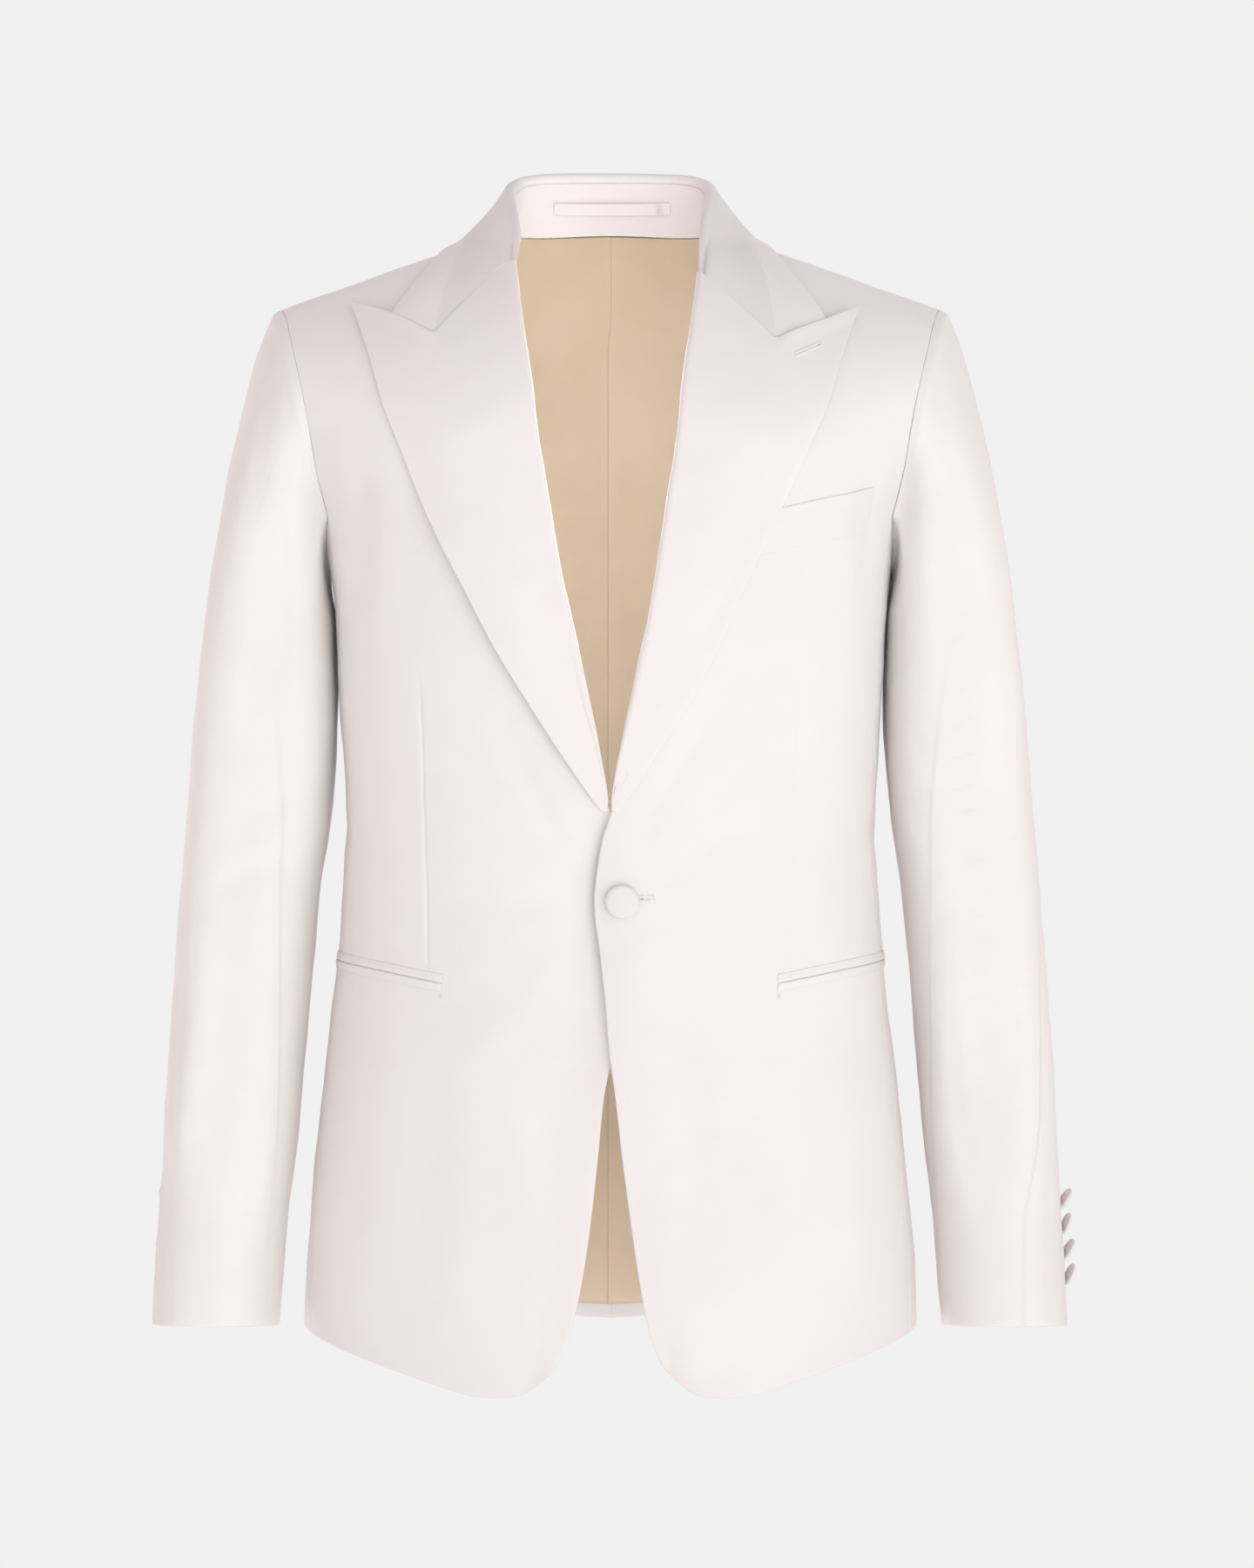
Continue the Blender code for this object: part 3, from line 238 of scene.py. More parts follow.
Station = namedtuple(
    "Station", "along fold_x fold_y fold_z edge_x edge_y neck_x neck_y neck_lift roll wrap"
)
COLLAR = table(Station, [
    (0.00, 0.0604, -0.0728, 0.0065, 0.1390, -0.0685, 0.0660, -0.0600, -0.0010, 0.0030, 90),
    (0.14, 0.0610, -0.0535, 0.0205, 0.1275, -0.0560, 0.0685, -0.0440, -0.0012, 0.0032, 125),
    (0.28, 0.0632, -0.0270, 0.0400, 0.1160, -0.0350, 0.0700, -0.0250, -0.0015, 0.0036, 180),
    (0.45, 0.0668, 0.0040, 0.0590, 0.1045, 0.0090, 0.0709, 0.0040, -0.0032, 0.0040, 180),
    (0.60, 0.0640, 0.0235, 0.0685, 0.0860, 0.0322, 0.0664, 0.0262, -0.0050, 0.0042, 180),
    (0.74, 0.0515, 0.0360, 0.0737, 0.0620, 0.0475, 0.0498, 0.0387, -0.0053, 0.0042, 180),
    (0.87, 0.0295, 0.0440, 0.0757, 0.0340, 0.0592, 0.0277, 0.0460, -0.0053, 0.0042, 180),
    (1.00, 0.0000, 0.0468, 0.0762, 0.0000, 0.0660, 0.0000, 0.0486, -0.0055, 0.0042, 180),
    (1.13, -0.0295, 0.0440, 0.0757, -0.0340, 0.0592, -0.0277, 0.0460, -0.0053, 0.0042, 180),
])
COLLAR_STEPS = 54
COLLAR_LOOK = 0.02
BEHIND_NECK = np.array([0.0, 0.3, 0.0])
FOLD_POINTS = 9
FOLD_END = 35
LEAF_LENGTH = 0.062
LEAF_CORNER_SHARE = 0.62
LEAF_FULLNESS = 0.0012
LEAF_FULL_FROM = 0.3
LEAF_END_STEPS = [0.0, 0.002, 0.005, 0.010]
GORGE_REACH = 0.42
FOLD_REACH = 0.17
FOLD_REACH_SHARE = 0.60
# The leaf's end runs in under the lapel's top beside the roll.
LEAF_UNDER = 0.0022
LEAF_UNDER_SHARE = (0.06, 0.42)
LEAF_SINK = 0.0012
LEAF_SINK_END = 0.05
# Its outer edge stands a little off the shoulder in front.
LEAF_LIFT = 0.0016
LEAF_LIFT_SHARE = (0.90, 0.60)
LEAF_LIFT_REACH = (0.16, 0.36)
LEAF_TUCK = 0.0030
LEAF_TUCK_LEAST = 0.0008
STAND_FIRST = 0.333
STAND_HEIGHT = 0.030
FOLD_GAP = 0.0001
STAND_FORWARD = 0.0032
GORGE_FIRST = 0.07
# The gorge seam from the roll to its corner, and on along the leaf's free end to the corner of the notch.
# The left lapel and leaf are pressed a little lower and closer in than the right ones.
Gorge = namedtuple("Gorge", "top bend corner notch")
GORGE = {
    1: Gorge((0.0560, -0.0045), (0.0812, -0.0280), (0.1043, -0.0515), (0.1380, -0.0376)),
    -1: Gorge((0.0588, 0.0040), (0.0690, 0.0000), (0.1110, -0.0482), (0.1392, -0.0332)),
}
GORGE_END = 0.0005
FOLD_END_SHIFT = {1: (-0.0024, -0.0122, -0.0113), -1: (0.0008, -0.0005, -0.0030)}
FOLD_SHIFT_END = 0.20
LEAF_EDGE_SHIFT = {1: -0.0058, -1: 0.0}
LEAF_SHIFT_REACH = (0.30, 0.62)
LAPEL_EDGE_SHIFT = {1: -0.0048, -1: 0.0008}
LAPEL_SHIFT_REACH = (-0.180, -0.290)
# The left lapel lies close on the front below its point; both points stand up a little along their tops.
EDGE_CLOTH = 0.0004
CLOSE_RISE = 0.0006
CLOSE_BREADTH = 0.016
CLOSE_BELOW = (-0.135, -0.085)
CLOSE_SHARE = {1: 1.0, -1: 0.0}
STAND_OFF = {1: 0.0, -1: 0.0052}
STAND_OFF_BREADTH = 0.055
STAND_OFF_TOP = (-0.190, -0.110)
STAND_OFF_LOW = (-0.300, -0.345)
POINT_LIFT = {1: 0.0022, -1: 0.0014}
POINT_LIFT_DEPTH = 0.016
POINT_LIFT_FADE = 0.10

LapelRow = namedtuple("LapelRow", "along roll edge dip")
LAPEL_ROWS = table(LapelRow, [
    (0.00, -0.350, -0.3510, 0.0), (0.05, -0.333, -0.3400, 0.0), (0.20, -0.282, -0.2980, 0.0),
    (0.45, -0.198, -0.2150, 0.03), (0.65, -0.126, -0.1440, 0.24), (0.80, -0.072, -0.0870, 0.52),
    (0.90, -0.034, -0.0540, 0.76), (1.00, 0.004, -0.0220, 1.0),
])
# The same at the left lapel's top.
LEFT_LAPEL_TOP = [LapelRow(0.90, -0.040, -0.0570, 0.76), LapelRow(1.00, -0.0045, -0.0268, 1.0)]
LAPEL_LENGTH = 0.350
LAPEL_BREADTH = 0.112
# The lapel turns over at its roll in a round fold, and runs on a little way inside the front.
ROLL_ROUND = 0.0034
ROLL_ROUND_LEAST = 0.0008
ROLL_POINTS = 7
ROLL_SHARE_MOST = 0.45
ROLL_TAIL = 0.007
TAIL_SHARE_MOST = 0.5
TAIL_STEPS = (0.0, 0.35, 0.75)
ROLL_LOW_END = (-0.270, -0.338)
LAPEL_LOW_END = (-0.350, -0.322)
LOW_END_LIFT = 0.0009
LAPEL_BELLY = 0.0016
BELLY_WIDTHS = (0.08, 0.02)

PocketPlace = namedtuple("PocketPlace", "turn height")
HIP_POCKET = table(PocketPlace, [
    (43.8, -0.4596), (52.0, -0.4558), (60.0, -0.4524), (70.0, -0.4496), (80.0, -0.4482), (93.0, -0.4476),
])
JET_HEIGHT = 0.0056
JET_LENGTH = 0.085
JET_PITCH = 0.001
JETS = (("upper", SEAM, JET_HEIGHT, "top"), ("lower", -JET_HEIGHT, -SEAM, "bottom"))
# Jets and welt stand up only at their open edges; along their sewn ones they sink to the front.
SEWN_RISE = 0.0003
JET_RISE = 0.0009
JET_FLAT = (0.35, 1.0)
JET_RIM = 1.2
WELT_RISE = 0.0011
WELT_SWELL = 1.5
WELT_START = (0.12, 0.03)
WELT_END = (0.06, 0.0)
REST = 0.00015
WELT_LENGTH = 0.064
WELT_HEIGHT = 0.029
WELT_TOP = [(0.1070, -0.1589), (0.1693, -0.1431)]
WELT_BOTTOM = [(0.0945, -0.1885), (0.1657, -0.1726)]

LINING_LOW = 0.0092
LINING_SHORT_ROWS = 8
# The left half of the lining laps over the right one in a pleat down the centre.
LINING_PLEAT = 0.0022
PLEAT_SHARE = {1: 1.0, -1: 0.2}
PLEAT_BREADTH = 0.010
PLEAT_HEIGHTS = (-0.04, -0.01)
PLEAT_INWARD = {1: 0.0010, -1: 0.0}
PLEAT_INWARD_HEIGHTS = (-0.04, 0.0)
HANGER_X = (-0.0382, 0.0400)
HANGER_Z = 0.0514
HANGER_HEIGHT = 0.0080
HANGER_BOW = 0.0015
LOOP_PITCH = 0.0020
LOOP_PITCH_ACROSS = 0.0015
LOOP_CLOTH = 0.0012

THREAD = 0.00052
BUTTONHOLE_THREAD = 0.00080
# The slit is a thin dark sheet of painted shade, laid in the buttonhole where its opening falls in shadow.
SLIT_HALF = 0.00030
SLIT_THICK = 0.00030
SLIT_RISE = 0.00012
SLIT_CLOSES = 0.2
BUTTONHOLE_SPACING = 0.00060
BUTTONHOLE_SUNK = 0.2
# A buttonhole's bar at its near end, and the points that its line of stitches is laid through.
BAR_BEYOND = 0.0002
BAR_SHARE = 0.8
BAR_STITCH = 0.0010
SIDE_POINTS = 30
FAN_POINTS = 15
BAR_POINTS = 9
SLIT_POINTS = (25, 5)
# Stitches are laid only where a wall's normal has less y than this.
FACING_FRONT = -0.2
# Ends as x and z, how far the stitches reach, and the share of the slit's way from which it gapes.
Buttonhole = namedtuple("Buttonhole", "near far reach slit_from")
FRONT_BUTTONHOLE = Buttonhole((0.0280, -0.4053), (0.0150, -0.4056), 0.0021, 0.45)
LAPEL_BUTTONHOLE = Buttonhole((0.1186, -0.0598), (0.1345, -0.0520), 0.0014, 0.88)
LOOP_RISE = 0.0006
STAY_ROW = (-0.0166, 0.0109)
STAY_HEIGHT = 0.0362
STAY_POINTS = 20
STAY_SUNK = 0.3
# The rows of stitches across the hanger loop, as a share of its height, and how deep threads lie.
LOOP_END = 0.42
LOOP_END_POINTS = 9
LOOP_SUNK = 0.25
# The short dashes of thread at the hip pockets' ends.
TACK_X = 0.1075
TACK_HEIGHTS = (-0.4668, -0.4691)
TACK_POINTS = 12
TACK_OUT = 0.0003
TACK_SPACING = 0.00075
TACK_LENGTH = 0.0026
TACK_THIN = 0.8

FRONT_BUTTON = (0.0078, -0.4073)
FRONT_BUTTON_RADIUS = 0.0107
FRONT_BUTTON_THICK = 0.0050
CUFF_BUTTON_RADIUS = 0.0075
CUFF_BUTTON_THICK = 0.0034
CUFF_BUTTON_PITCH = 0.0163
CUFF_BUTTON_LOWEST = -0.654
# A cuff button leans back a little, and stands off the sleeve by part of what its tilt lifts.
CUFF_BUTTON_BACK = 0.18
CUFF_BUTTON_RAISE = 0.55
# Steps either way in which the sleeve's surface is followed beneath a button.
CUFF_LOOK_TURN = np.array([-0.003, 0.003])
CUFF_LOOK_HEIGHT = np.array([-0.002, 0.002])
CUFF_BUTTON_TURN = {1: -3.0, -1: -30.0}
CUFF_BUTTON_TILTS = [26.0, 31.0, 24.0, 34.0]
BUTTON_SPOKES = 40
# A button from its foot to its dome, as shares of its radius and thickness, and the gathers at its rim.
BUTTON_FOOT = -0.10
BUTTON_RINGS = [
    (0.26, -0.08), (0.22, 0.04), (0.24, 0.10), (0.70, 0.10), (0.86, 0.14), (0.95, 0.22), (0.992, 0.34),
    (1.0, 0.46), (0.985, 0.58), (0.945, 0.70), (0.88, 0.79), (0.78, 0.86), (0.64, 0.915), (0.46, 0.955),
    (0.26, 0.985),
]
GATHERS = 11
GATHER_SIZE = 0.010
GATHER_TURN = 0.6
GATHER_HEIGHT = 0.35
GATHER_SPREAD = 0.25

# How creases widen along their way, bow aside, end, and lift the cloth beside them.
CREASE_NARROW = 0.75
CREASE_WIDENS = 0.5
CREASE_BOW = 0.10
CREASE_END = 2.5
CREASE_BESIDE = 0.7

# Creases on the body, by the turn round it in degrees (0 the centre front, 90 the wearer's left, 180 the
# back) and the height, from one end to the other: half the width, and the depth of the trough, or below 0
# the height of a ridge.
Crease = namedtuple("Crease", "turn_a height_a turn_b height_b width depth")
BODY_CREASES = table(Crease, [
    # From the closing up and out over the left front, and the pull beside the button.
    (4, -0.392, 34, -0.262, 0.012, 0.0016), (6, -0.410, 44, -0.352, 0.010, 0.0009),
    (10, -0.425, 40, -0.470, 0.014, -0.0008), (-6, -0.400, -30, -0.290, 0.011, 0.0015),
    (-12, -0.375, -46, -0.300, 0.013, 0.0012), (-10, -0.412, -52, -0.395, 0.012, 0.0010),
    (-12, -0.440, -44, -0.520, 0.016, -0.0010),
    # The fronts stand up a little where they close, with the strain above the button.
    (3.0, -0.346, 1.0, -0.600, 0.030, -0.0044), (0.2, -0.3925, 9, -0.3925, 0.0035, 0.0005),
    # Soft upright folds in the skirts.
    (28, -0.500, 26, -0.715, 0.020, -0.0018), (52, -0.520, 50, -0.705, 0.018, 0.0016),
    (74, -0.500, 78, -0.695, 0.022, -0.0014), (-26, -0.520, -22, -0.720, 0.018, -0.0016),
    (-48, -0.500, -50, -0.705, 0.020, 0.0018), (-76, -0.510, -73, -0.695, 0.020, -0.0013),
    # Ease beside the armholes, front and back.
    (58, -0.105, 64, -0.215, 0.012, 0.0014), (52, -0.130, 60, -0.240, 0.013, -0.0010),
    (-57, -0.110, -65, -0.225, 0.013, 0.0013), (-50, -0.120, -58, -0.250, 0.014, -0.0009),
    (122, -0.090, 116, -0.230, 0.014, 0.0022), (130, -0.080, 124, -0.250, 0.016, -0.0016),
    (-120, -0.095, -116, -0.240, 0.015, 0.0020), (-129, -0.085, -125, -0.235, 0.015, -0.0017),
    # The waist, drawn in across the small of the back and at the sides.
    (100, -0.385, 150, -0.372, 0.012, 0.0012), (105, -0.352, 160, -0.338, 0.011, 0.0009),
    (-98, -0.380, -148, -0.366, 0.012, 0.0013), (-110, -0.345, -158, -0.348, 0.012, 0.0008),
    (62, -0.360, 96, -0.378, 0.012, 0.0009), (-64, -0.372, -98, -0.352, 0.012, 0.0010),
    # Below the collar and between the shoulder blades.
    (152, -0.015, -154, -0.012, 0.012, 0.0008), (160, -0.120, 168, -0.300, 0.020, -0.0010),
    (-162, -0.130, -166, -0.310, 0.020, -0.0011),
    # Upright folds in the back of the skirts.
    (112, -0.500, 116, -0.698, 0.020, 0.0014), (138, -0.470, 134, -0.700, 0.024, -0.0020),
    (160, -0.490, 162, -0.702, 0.018, 0.0014), (-114, -0.510, -112, -0.698, 0.019, 0.0013),
    (-140, -0.480, -143, -0.700, 0.023, -0.0018), (-163, -0.470, -160, -0.702, 0.018, 0.0012),
])
# The right front alone dips in under the left one at the closing.
UNDER_CLOSING = [Crease(-2.0, -0.325, -1.8, -0.535, 0.0290, 0.0056)]
DEGREE = 0.0026

# The same on a sleeve, by the turn round it: 0 its outer side, 90 its front, 180 its inner side.
SLEEVE_CREASES = {
    1: table(Crease, [
        (60, -0.060, 88, -0.150, 0.012, 0.0012), (30, -0.090, 36, -0.330, 0.016, -0.0012),
        (100, -0.150, 84, -0.300, 0.011, 0.0014), (128, -0.300, 70, -0.352, 0.011, 0.0013),
        (136, -0.352, 88, -0.380, 0.010, 0.0012), (62, -0.400, 76, -0.560, 0.014, -0.0011),
        (40, -0.420, 46, -0.640, 0.013, 0.0009), (110, -0.480, 100, -0.650, 0.012, 0.0010),
        (-60, -0.070, -84, -0.200, 0.014, 0.0018), (-40, -0.300, -110, -0.365, 0.012, 0.0014),
        (-50, -0.360, -120, -0.395, 0.011, 0.0015), (-70, -0.420, -80, -0.620, 0.015, -0.0012),
        (-150, -0.230, -110, -0.330, 0.012, 0.0012),
    ]),
    -1: table(Crease, [
        (52, -0.070, 82, -0.165, 0.012, 0.0011), (34, -0.100, 30, -0.320, 0.016, -0.0013),
        (96, -0.140, 90, -0.310, 0.012, 0.0013), (132, -0.320, 78, -0.360, 0.011, 0.0012),
        (124, -0.370, 70, -0.405, 0.010, 0.0010), (70, -0.410, 64, -0.590, 0.014, -0.0012),
        (44, -0.400, 38, -0.620, 0.014, 0.0010), (104, -0.500, 112, -0.655, 0.012, 0.0009),
        (-64, -0.080, -80, -0.210, 0.014, 0.0017), (-44, -0.310, -104, -0.350, 0.012, 0.0015),
        (-60, -0.375, -116, -0.410, 0.011, 0.0013), (-76, -0.430, -72, -0.600, 0.015, -0.0013),
        (-146, -0.240, -112, -0.340, 0.012, 0.0011),
    ]),
}
# The same on the back lining, by x in place of a turn.
LINING_CREASES = table(Crease, [
    (0.010, -0.030, 0.080, -0.042, 0.007, 0.0008), (-0.012, -0.026, -0.090, -0.050, 0.008, 0.0009),
    (0.030, -0.090, 0.110, -0.150, 0.010, 0.0010), (-0.025, -0.100, -0.100, -0.140, 0.010, 0.0009),
    (0.022, -0.120, 0.030, -0.330, 0.012, -0.0011), (-0.030, -0.140, -0.024, -0.350, 0.012, -0.0010),
    (0.060, -0.200, 0.052, -0.420, 0.014, 0.0010), (-0.058, -0.220, -0.064, -0.430, 0.014, 0.0011),
    (0.018, -0.480, 0.024, -0.680, 0.010, 0.0010), (-0.020, -0.500, -0.016, -0.680, 0.010, -0.0009),
    (0.070, -0.470, 0.080, -0.680, 0.016, -0.0013), (-0.075, -0.480, -0.070, -0.680, 0.016, 0.0012),
])


def between(rows, at):
    """The table's columns after the first, at values of its first one, on smooth curves through its rows."""
    table = np.array(rows, float)
    at = np.clip(np.asarray(at, float), table[0, 0], table[-1, 0])
    low = np.clip(np.searchsorted(table[:, 0], at, side="right") - 1, 0, len(table) - 2)
    index = np.arange(len(table))
    before = table[np.maximum(index - 1, 0)]
    after = table[np.minimum(index + 1, len(table) - 1)]
    slopes = (after - before) / (after[:, :1] - before[:, :1])
    span = (table[low + 1, 0] - table[low, 0])[..., None]
    t = (at - table[low, 0])[..., None] / span
    value = table[low] * (2 * t**3 - 3 * t**2 + 1) + table[low + 1] * (3 * t**2 - 2 * t**3)
    value += span * (slopes[low] * (t**3 - 2 * t**2 + t) + slopes[low + 1] * (t**3 - t**2))
    return np.moveaxis(value, -1, 0)[1:]


def mix(a, b, share):
    return a + (b - a) * share


def fade(value, full, none):
    """1 at full, 0 at none, smooth between them."""
    share = np.clip((np.asarray(value, float) - none) / (full - none), 0.0, 1.0)
    return share * share * (3 - 2 * share)


def hump(shares):
    """0 at both ends, 1 in the middle."""
    return np.sin(math.pi * shares)


def unit(vectors):
    return vectors / np.maximum(np.linalg.norm(vectors, axis=-1, keepdims=True), 1e-12)


def spaced(length, start=True, end=True, pitch=PITCH):
    """Shares of a length, a pitch apart, and closer at the ends that are edges."""
    near = EDGE_STEPS if start else [0.0]
    far = EDGE_STEPS if end else [0.0]
    count = max(1, round((length - near[-1] - far[-1]) / pitch))
    inner = np.linspace(near[-1], length - far[-1], count + 1)
    first = [0.0] + near[:-1] if start else []
    last = [length - step for step in reversed(far[:-1])] + [length] if end else []
    return np.concatenate([first, inner, last]) / length


# The body form.


def ridge(x):
    rise = NECK_RISE * fade(np.abs(x), *NECK_RISE_X)
    return NECK_RIDGE - SHOULDER_SLOPE * np.hypot(x, NECK_ROUND) + rise


def form_at(z, back):
    """The form's half width, and its depth and squareness on its front or back."""
    half_width, front, behind, square_front, square_back = between(FORM, z)
    return half_width, np.where(back, behind, front), np.where(back, square_back, square_front)


def run_from_ridge(x, z, back):
    half_width, depth, square = form_at(z, back)
    reach = np.maximum(0.0, 1.0 - (np.abs(x) / half_width) ** square) ** (1.0 / square)
    return depth * reach + np.where(back, -RIDGE_Y, RIDGE_Y)


def form_y(x, z, back):
    drop = np.clip((ridge(x) - z) / ARCH_HEIGHT, 0.0, 1.0)
    share = (1.0 - (1.0 - drop) ** ARCH_BEND) ** (1.0 / ARCH_BEND)
    run = run_from_ridge(x, z, back) * share
    return np.where(back, RIDGE_Y + run, RIDGE_Y - run)


def outside(points, back):
    """0 on the form's front or back, above 0 outside it."""
    x, y, z = np.moveaxis(points, -1, 0)
    run = np.abs(y - RIDGE_Y) / np.maximum(run_from_ridge(x, z, back), 1e-4)
    rise = np.maximum(0.0, 1.0 - (ridge(x) - z) / ARCH_HEIGHT)
    return run**ARCH_BEND + rise**ARCH_BEND - 1.0


def girth_level(points):
    x, y, z = np.moveaxis(points, -1, 0)
    half_width, depth, square = form_at(z, y > 0)
    return (np.abs(x) / half_width) ** square + (np.abs(y) / depth) ** square - 1.0


def gradient(function, points, *given):
    step = 2e-5
    slopes = []
    for ahead in np.eye(3) * step:
        slopes.append((function(points + ahead, *given) - function(points - ahead, *given)) / (2 * step))
    return np.stack(slopes, -1)


Wall = namedtuple("Wall", "points normals")


def moved_out(wall, out):
    return Wall(wall.points + wall.normals * np.asarray(out, float)[..., None], wall.normals)


def on_form(x, z, back=False, out=0.0):
    """Places on the front or the back of the form, moved out along its normals."""
    x, z = np.broadcast_arrays(np.asarray(x, float), np.asarray(z, float))
    points = np.stack([x, form_y(x, z, back), z], -1)
    return moved_out(Wall(points, unit(gradient(outside, points, back))), out)


def arch_z(x, turns):
    return ridge(x) - ARCH_HEIGHT * (1.0 - np.sin(np.radians(turns)) ** (2.0 / ARCH_BEND))


def arch_run(x, turns, back):
    share = np.maximum(np.cos(np.radians(turns)), 0.0) ** (2.0 / ARCH_BEND)
    return run_from_ridge(x, arch_z(x, turns), back) * share


def on_arch(x, turns, back, out):
    """As on_form, by the angle round the shoulder arch, which stays exact up to the shoulder seam."""
    run = arch_run(x, turns, back)
    points = np.stack([x, np.where(back, RIDGE_Y + run, RIDGE_Y - run), arch_z(x, turns)], -1)
    return moved_out(Wall(points, unit(gradient(outside, points, back))), out)


def on_girth(turns, z, out=0.0):
    """Places round the form below the arch, by their turn from the centre front."""
    turns, z = np.broadcast_arrays(np.asarray(turns, float), np.asarray(z, float))
    across = np.abs(np.sin(np.radians(turns)))
    ahead = np.cos(np.radians(turns))
    half_width, depth, square = form_at(z, ahead < 0)
    radius = ((across / half_width) ** square + (np.abs(ahead) / depth) ** square) ** (-1.0 / square)
    points = np.stack([radius * np.sin(np.radians(turns)), -radius * ahead, z], -1)
    return moved_out(Wall(points, unit(gradient(girth_level, points))), out)


def top_z(x, y):
    """Height of the form over places in plan, near the shoulders."""
    back = y > RIDGE_Y
    z = ridge(x)
    for _ in range(TOP_ROUNDS):
        run = np.minimum(np.abs(y - RIDGE_Y) / run_from_ridge(x, z, back), 1.0)
        z = ridge(x) - ARCH_HEIGHT * (1.0 - (1.0 - run**ARCH_BEND) ** (1.0 / ARCH_BEND))
    return z


def settled(points, out):
    """The points, moved off the form where they are nearer to it than out."""
    places = points.copy()
    for _ in range(SETTLE_ROUNDS):
        back = places[..., 1] > RIDGE_Y
        slope = gradient(outside, places, back)
        size = np.maximum(np.linalg.norm(slope, axis=-1), 1e-9)
        distance = outside(places, back) / size
        push = np.maximum(out - distance, 0.0)
        places += slope / size[..., None] * push[..., None]
    return places


def lap(x, z):
    return LAP * fade(np.abs(x), *LAP_X) * fade(z, *LAP_Z)


# Walls from grids of points.


def lengths(points, axis):
    """How far each point is along its line of the grid."""
    steps = np.linalg.norm(np.diff(points, axis=axis), axis=-1)
    start = np.zeros_like(np.take(steps, [0], axis=axis))
    return np.concatenate([start, np.cumsum(steps, axis=axis)], axis=axis)


def from_edges(points):
    """How far each point is from each of its grid's edges."""
    across, along = lengths(points, 1), lengths(points, 0)
    return {"start": across, "end": across[:, -1:] - across, "bottom": along, "top": along[-1:] - along}


def grid_normals(points, away_from):
    """Normals from the neighbours, pointing away from the given places."""
    normals = unit(np.cross(np.gradient(points, axis=0), np.gradient(points, axis=1)))
    middle = (points.shape[0] // 2, points.shape[1] // 2)
    toward = points - away_from
    return normals if np.sum(normals[middle] * toward[middle]) >= 0 else -normals


def creased(wall, across, height, creases):
    """The wall with soft troughs and ridges: each is deepest along its middle, with the cloth lifted a
    little on both sides of it."""
    moved = np.zeros(across.shape)
    for crease in creases:
        run = np.array([crease.turn_b - crease.turn_a, crease.height_b - crease.height_a])
        size = np.hypot(*run)
        ahead = ((across - crease.turn_a) * run[0] + (height - crease.height_a) * run[1]) / size**2
        bow = CREASE_BOW * size * (ahead - ahead**2)
        aside = ((height - crease.height_a) * run[0] - (across - crease.turn_a) * run[1]) / size - bow
        width = crease.width * (CREASE_NARROW + CREASE_WIDENS * np.clip(ahead, 0.0, 1.0))
        ends = np.clip(1.0 - np.abs(2.0 * ahead - 1.0) ** CREASE_END, 0.0, 1.0)
        profile = (1.0 - CREASE_BESIDE * (aside / width) ** 2) * np.exp(-((aside / width) ** 2))
        moved -= crease.depth * profile * ends
    return moved_out(wall, moved)


def body_creased(wall, more=()):
    turns = np.degrees(np.arctan2(wall.points[..., 0], -wall.points[..., 1]))
    creases = []
    for crease in BODY_CREASES + list(more):
        low, high = crease.turn_a, crease.turn_b
        if high < 0 < low and low - high > 180:
            high += 360
        creases.append(crease._replace(turn_a=low * DEGREE, turn_b=high * DEGREE))
    made = creased(wall, turns * DEGREE, wall.points[..., 2], creases)
    over = [crease for crease in creases if crease.turn_b > 180 * DEGREE]
    return creased(made, (turns + 360) * DEGREE, wall.points[..., 2], over)


def wavered(wall, size=WAVER):
    """The wall as hand-pressed cloth lies: nowhere quite true."""
    x, y, z = np.moveaxis(wall.points, -1, 0)
    moved = np.sin(41 * x + 23 * z + 1.3) * np.sin(37 * z - 29 * y + 0.4)
    moved += 0.6 * np.sin(83 * z + 61 * x + 2.1) * np.sin(71 * y - 19 * z)
    moved += 0.4 * np.sin(127 * x - 97 * z + 0.7) * np.sin(109 * z + 67 * y + 1.9)
    return moved_out(wall, size * moved)


def turned_to(side, wall):
    """The wall, made for the wearer's left, on the left or mirrored to the right."""
    return wall if side > 0 else Wall(wall.points * MIRROR, wall.normals * MIRROR)


def placed(name, data):
    """A new object in the scene."""
    made = bpy.data.objects.new(name, data)
    bpy.context.scene.collection.objects.link(made)
    return made


def piece(name, points, faces, finish, flat=None):
    mesh = bpy.data.meshes.new(name)
    mesh.from_pydata(np.asarray(points).tolist(), [], faces)
    if flat is not None:
        layer = mesh.uv_layers.new(name="cloth_metres")
        corners = np.zeros(len(mesh.loops), np.int32)
        mesh.loops.foreach_get("vertex_index", corners)
        layer.data.foreach_set("uv", np.asarray(flat)[corners].astype(np.float32).ravel())
    mesh.materials.append(finish)
    mesh.shade_smooth()
    return placed(name, mesh)


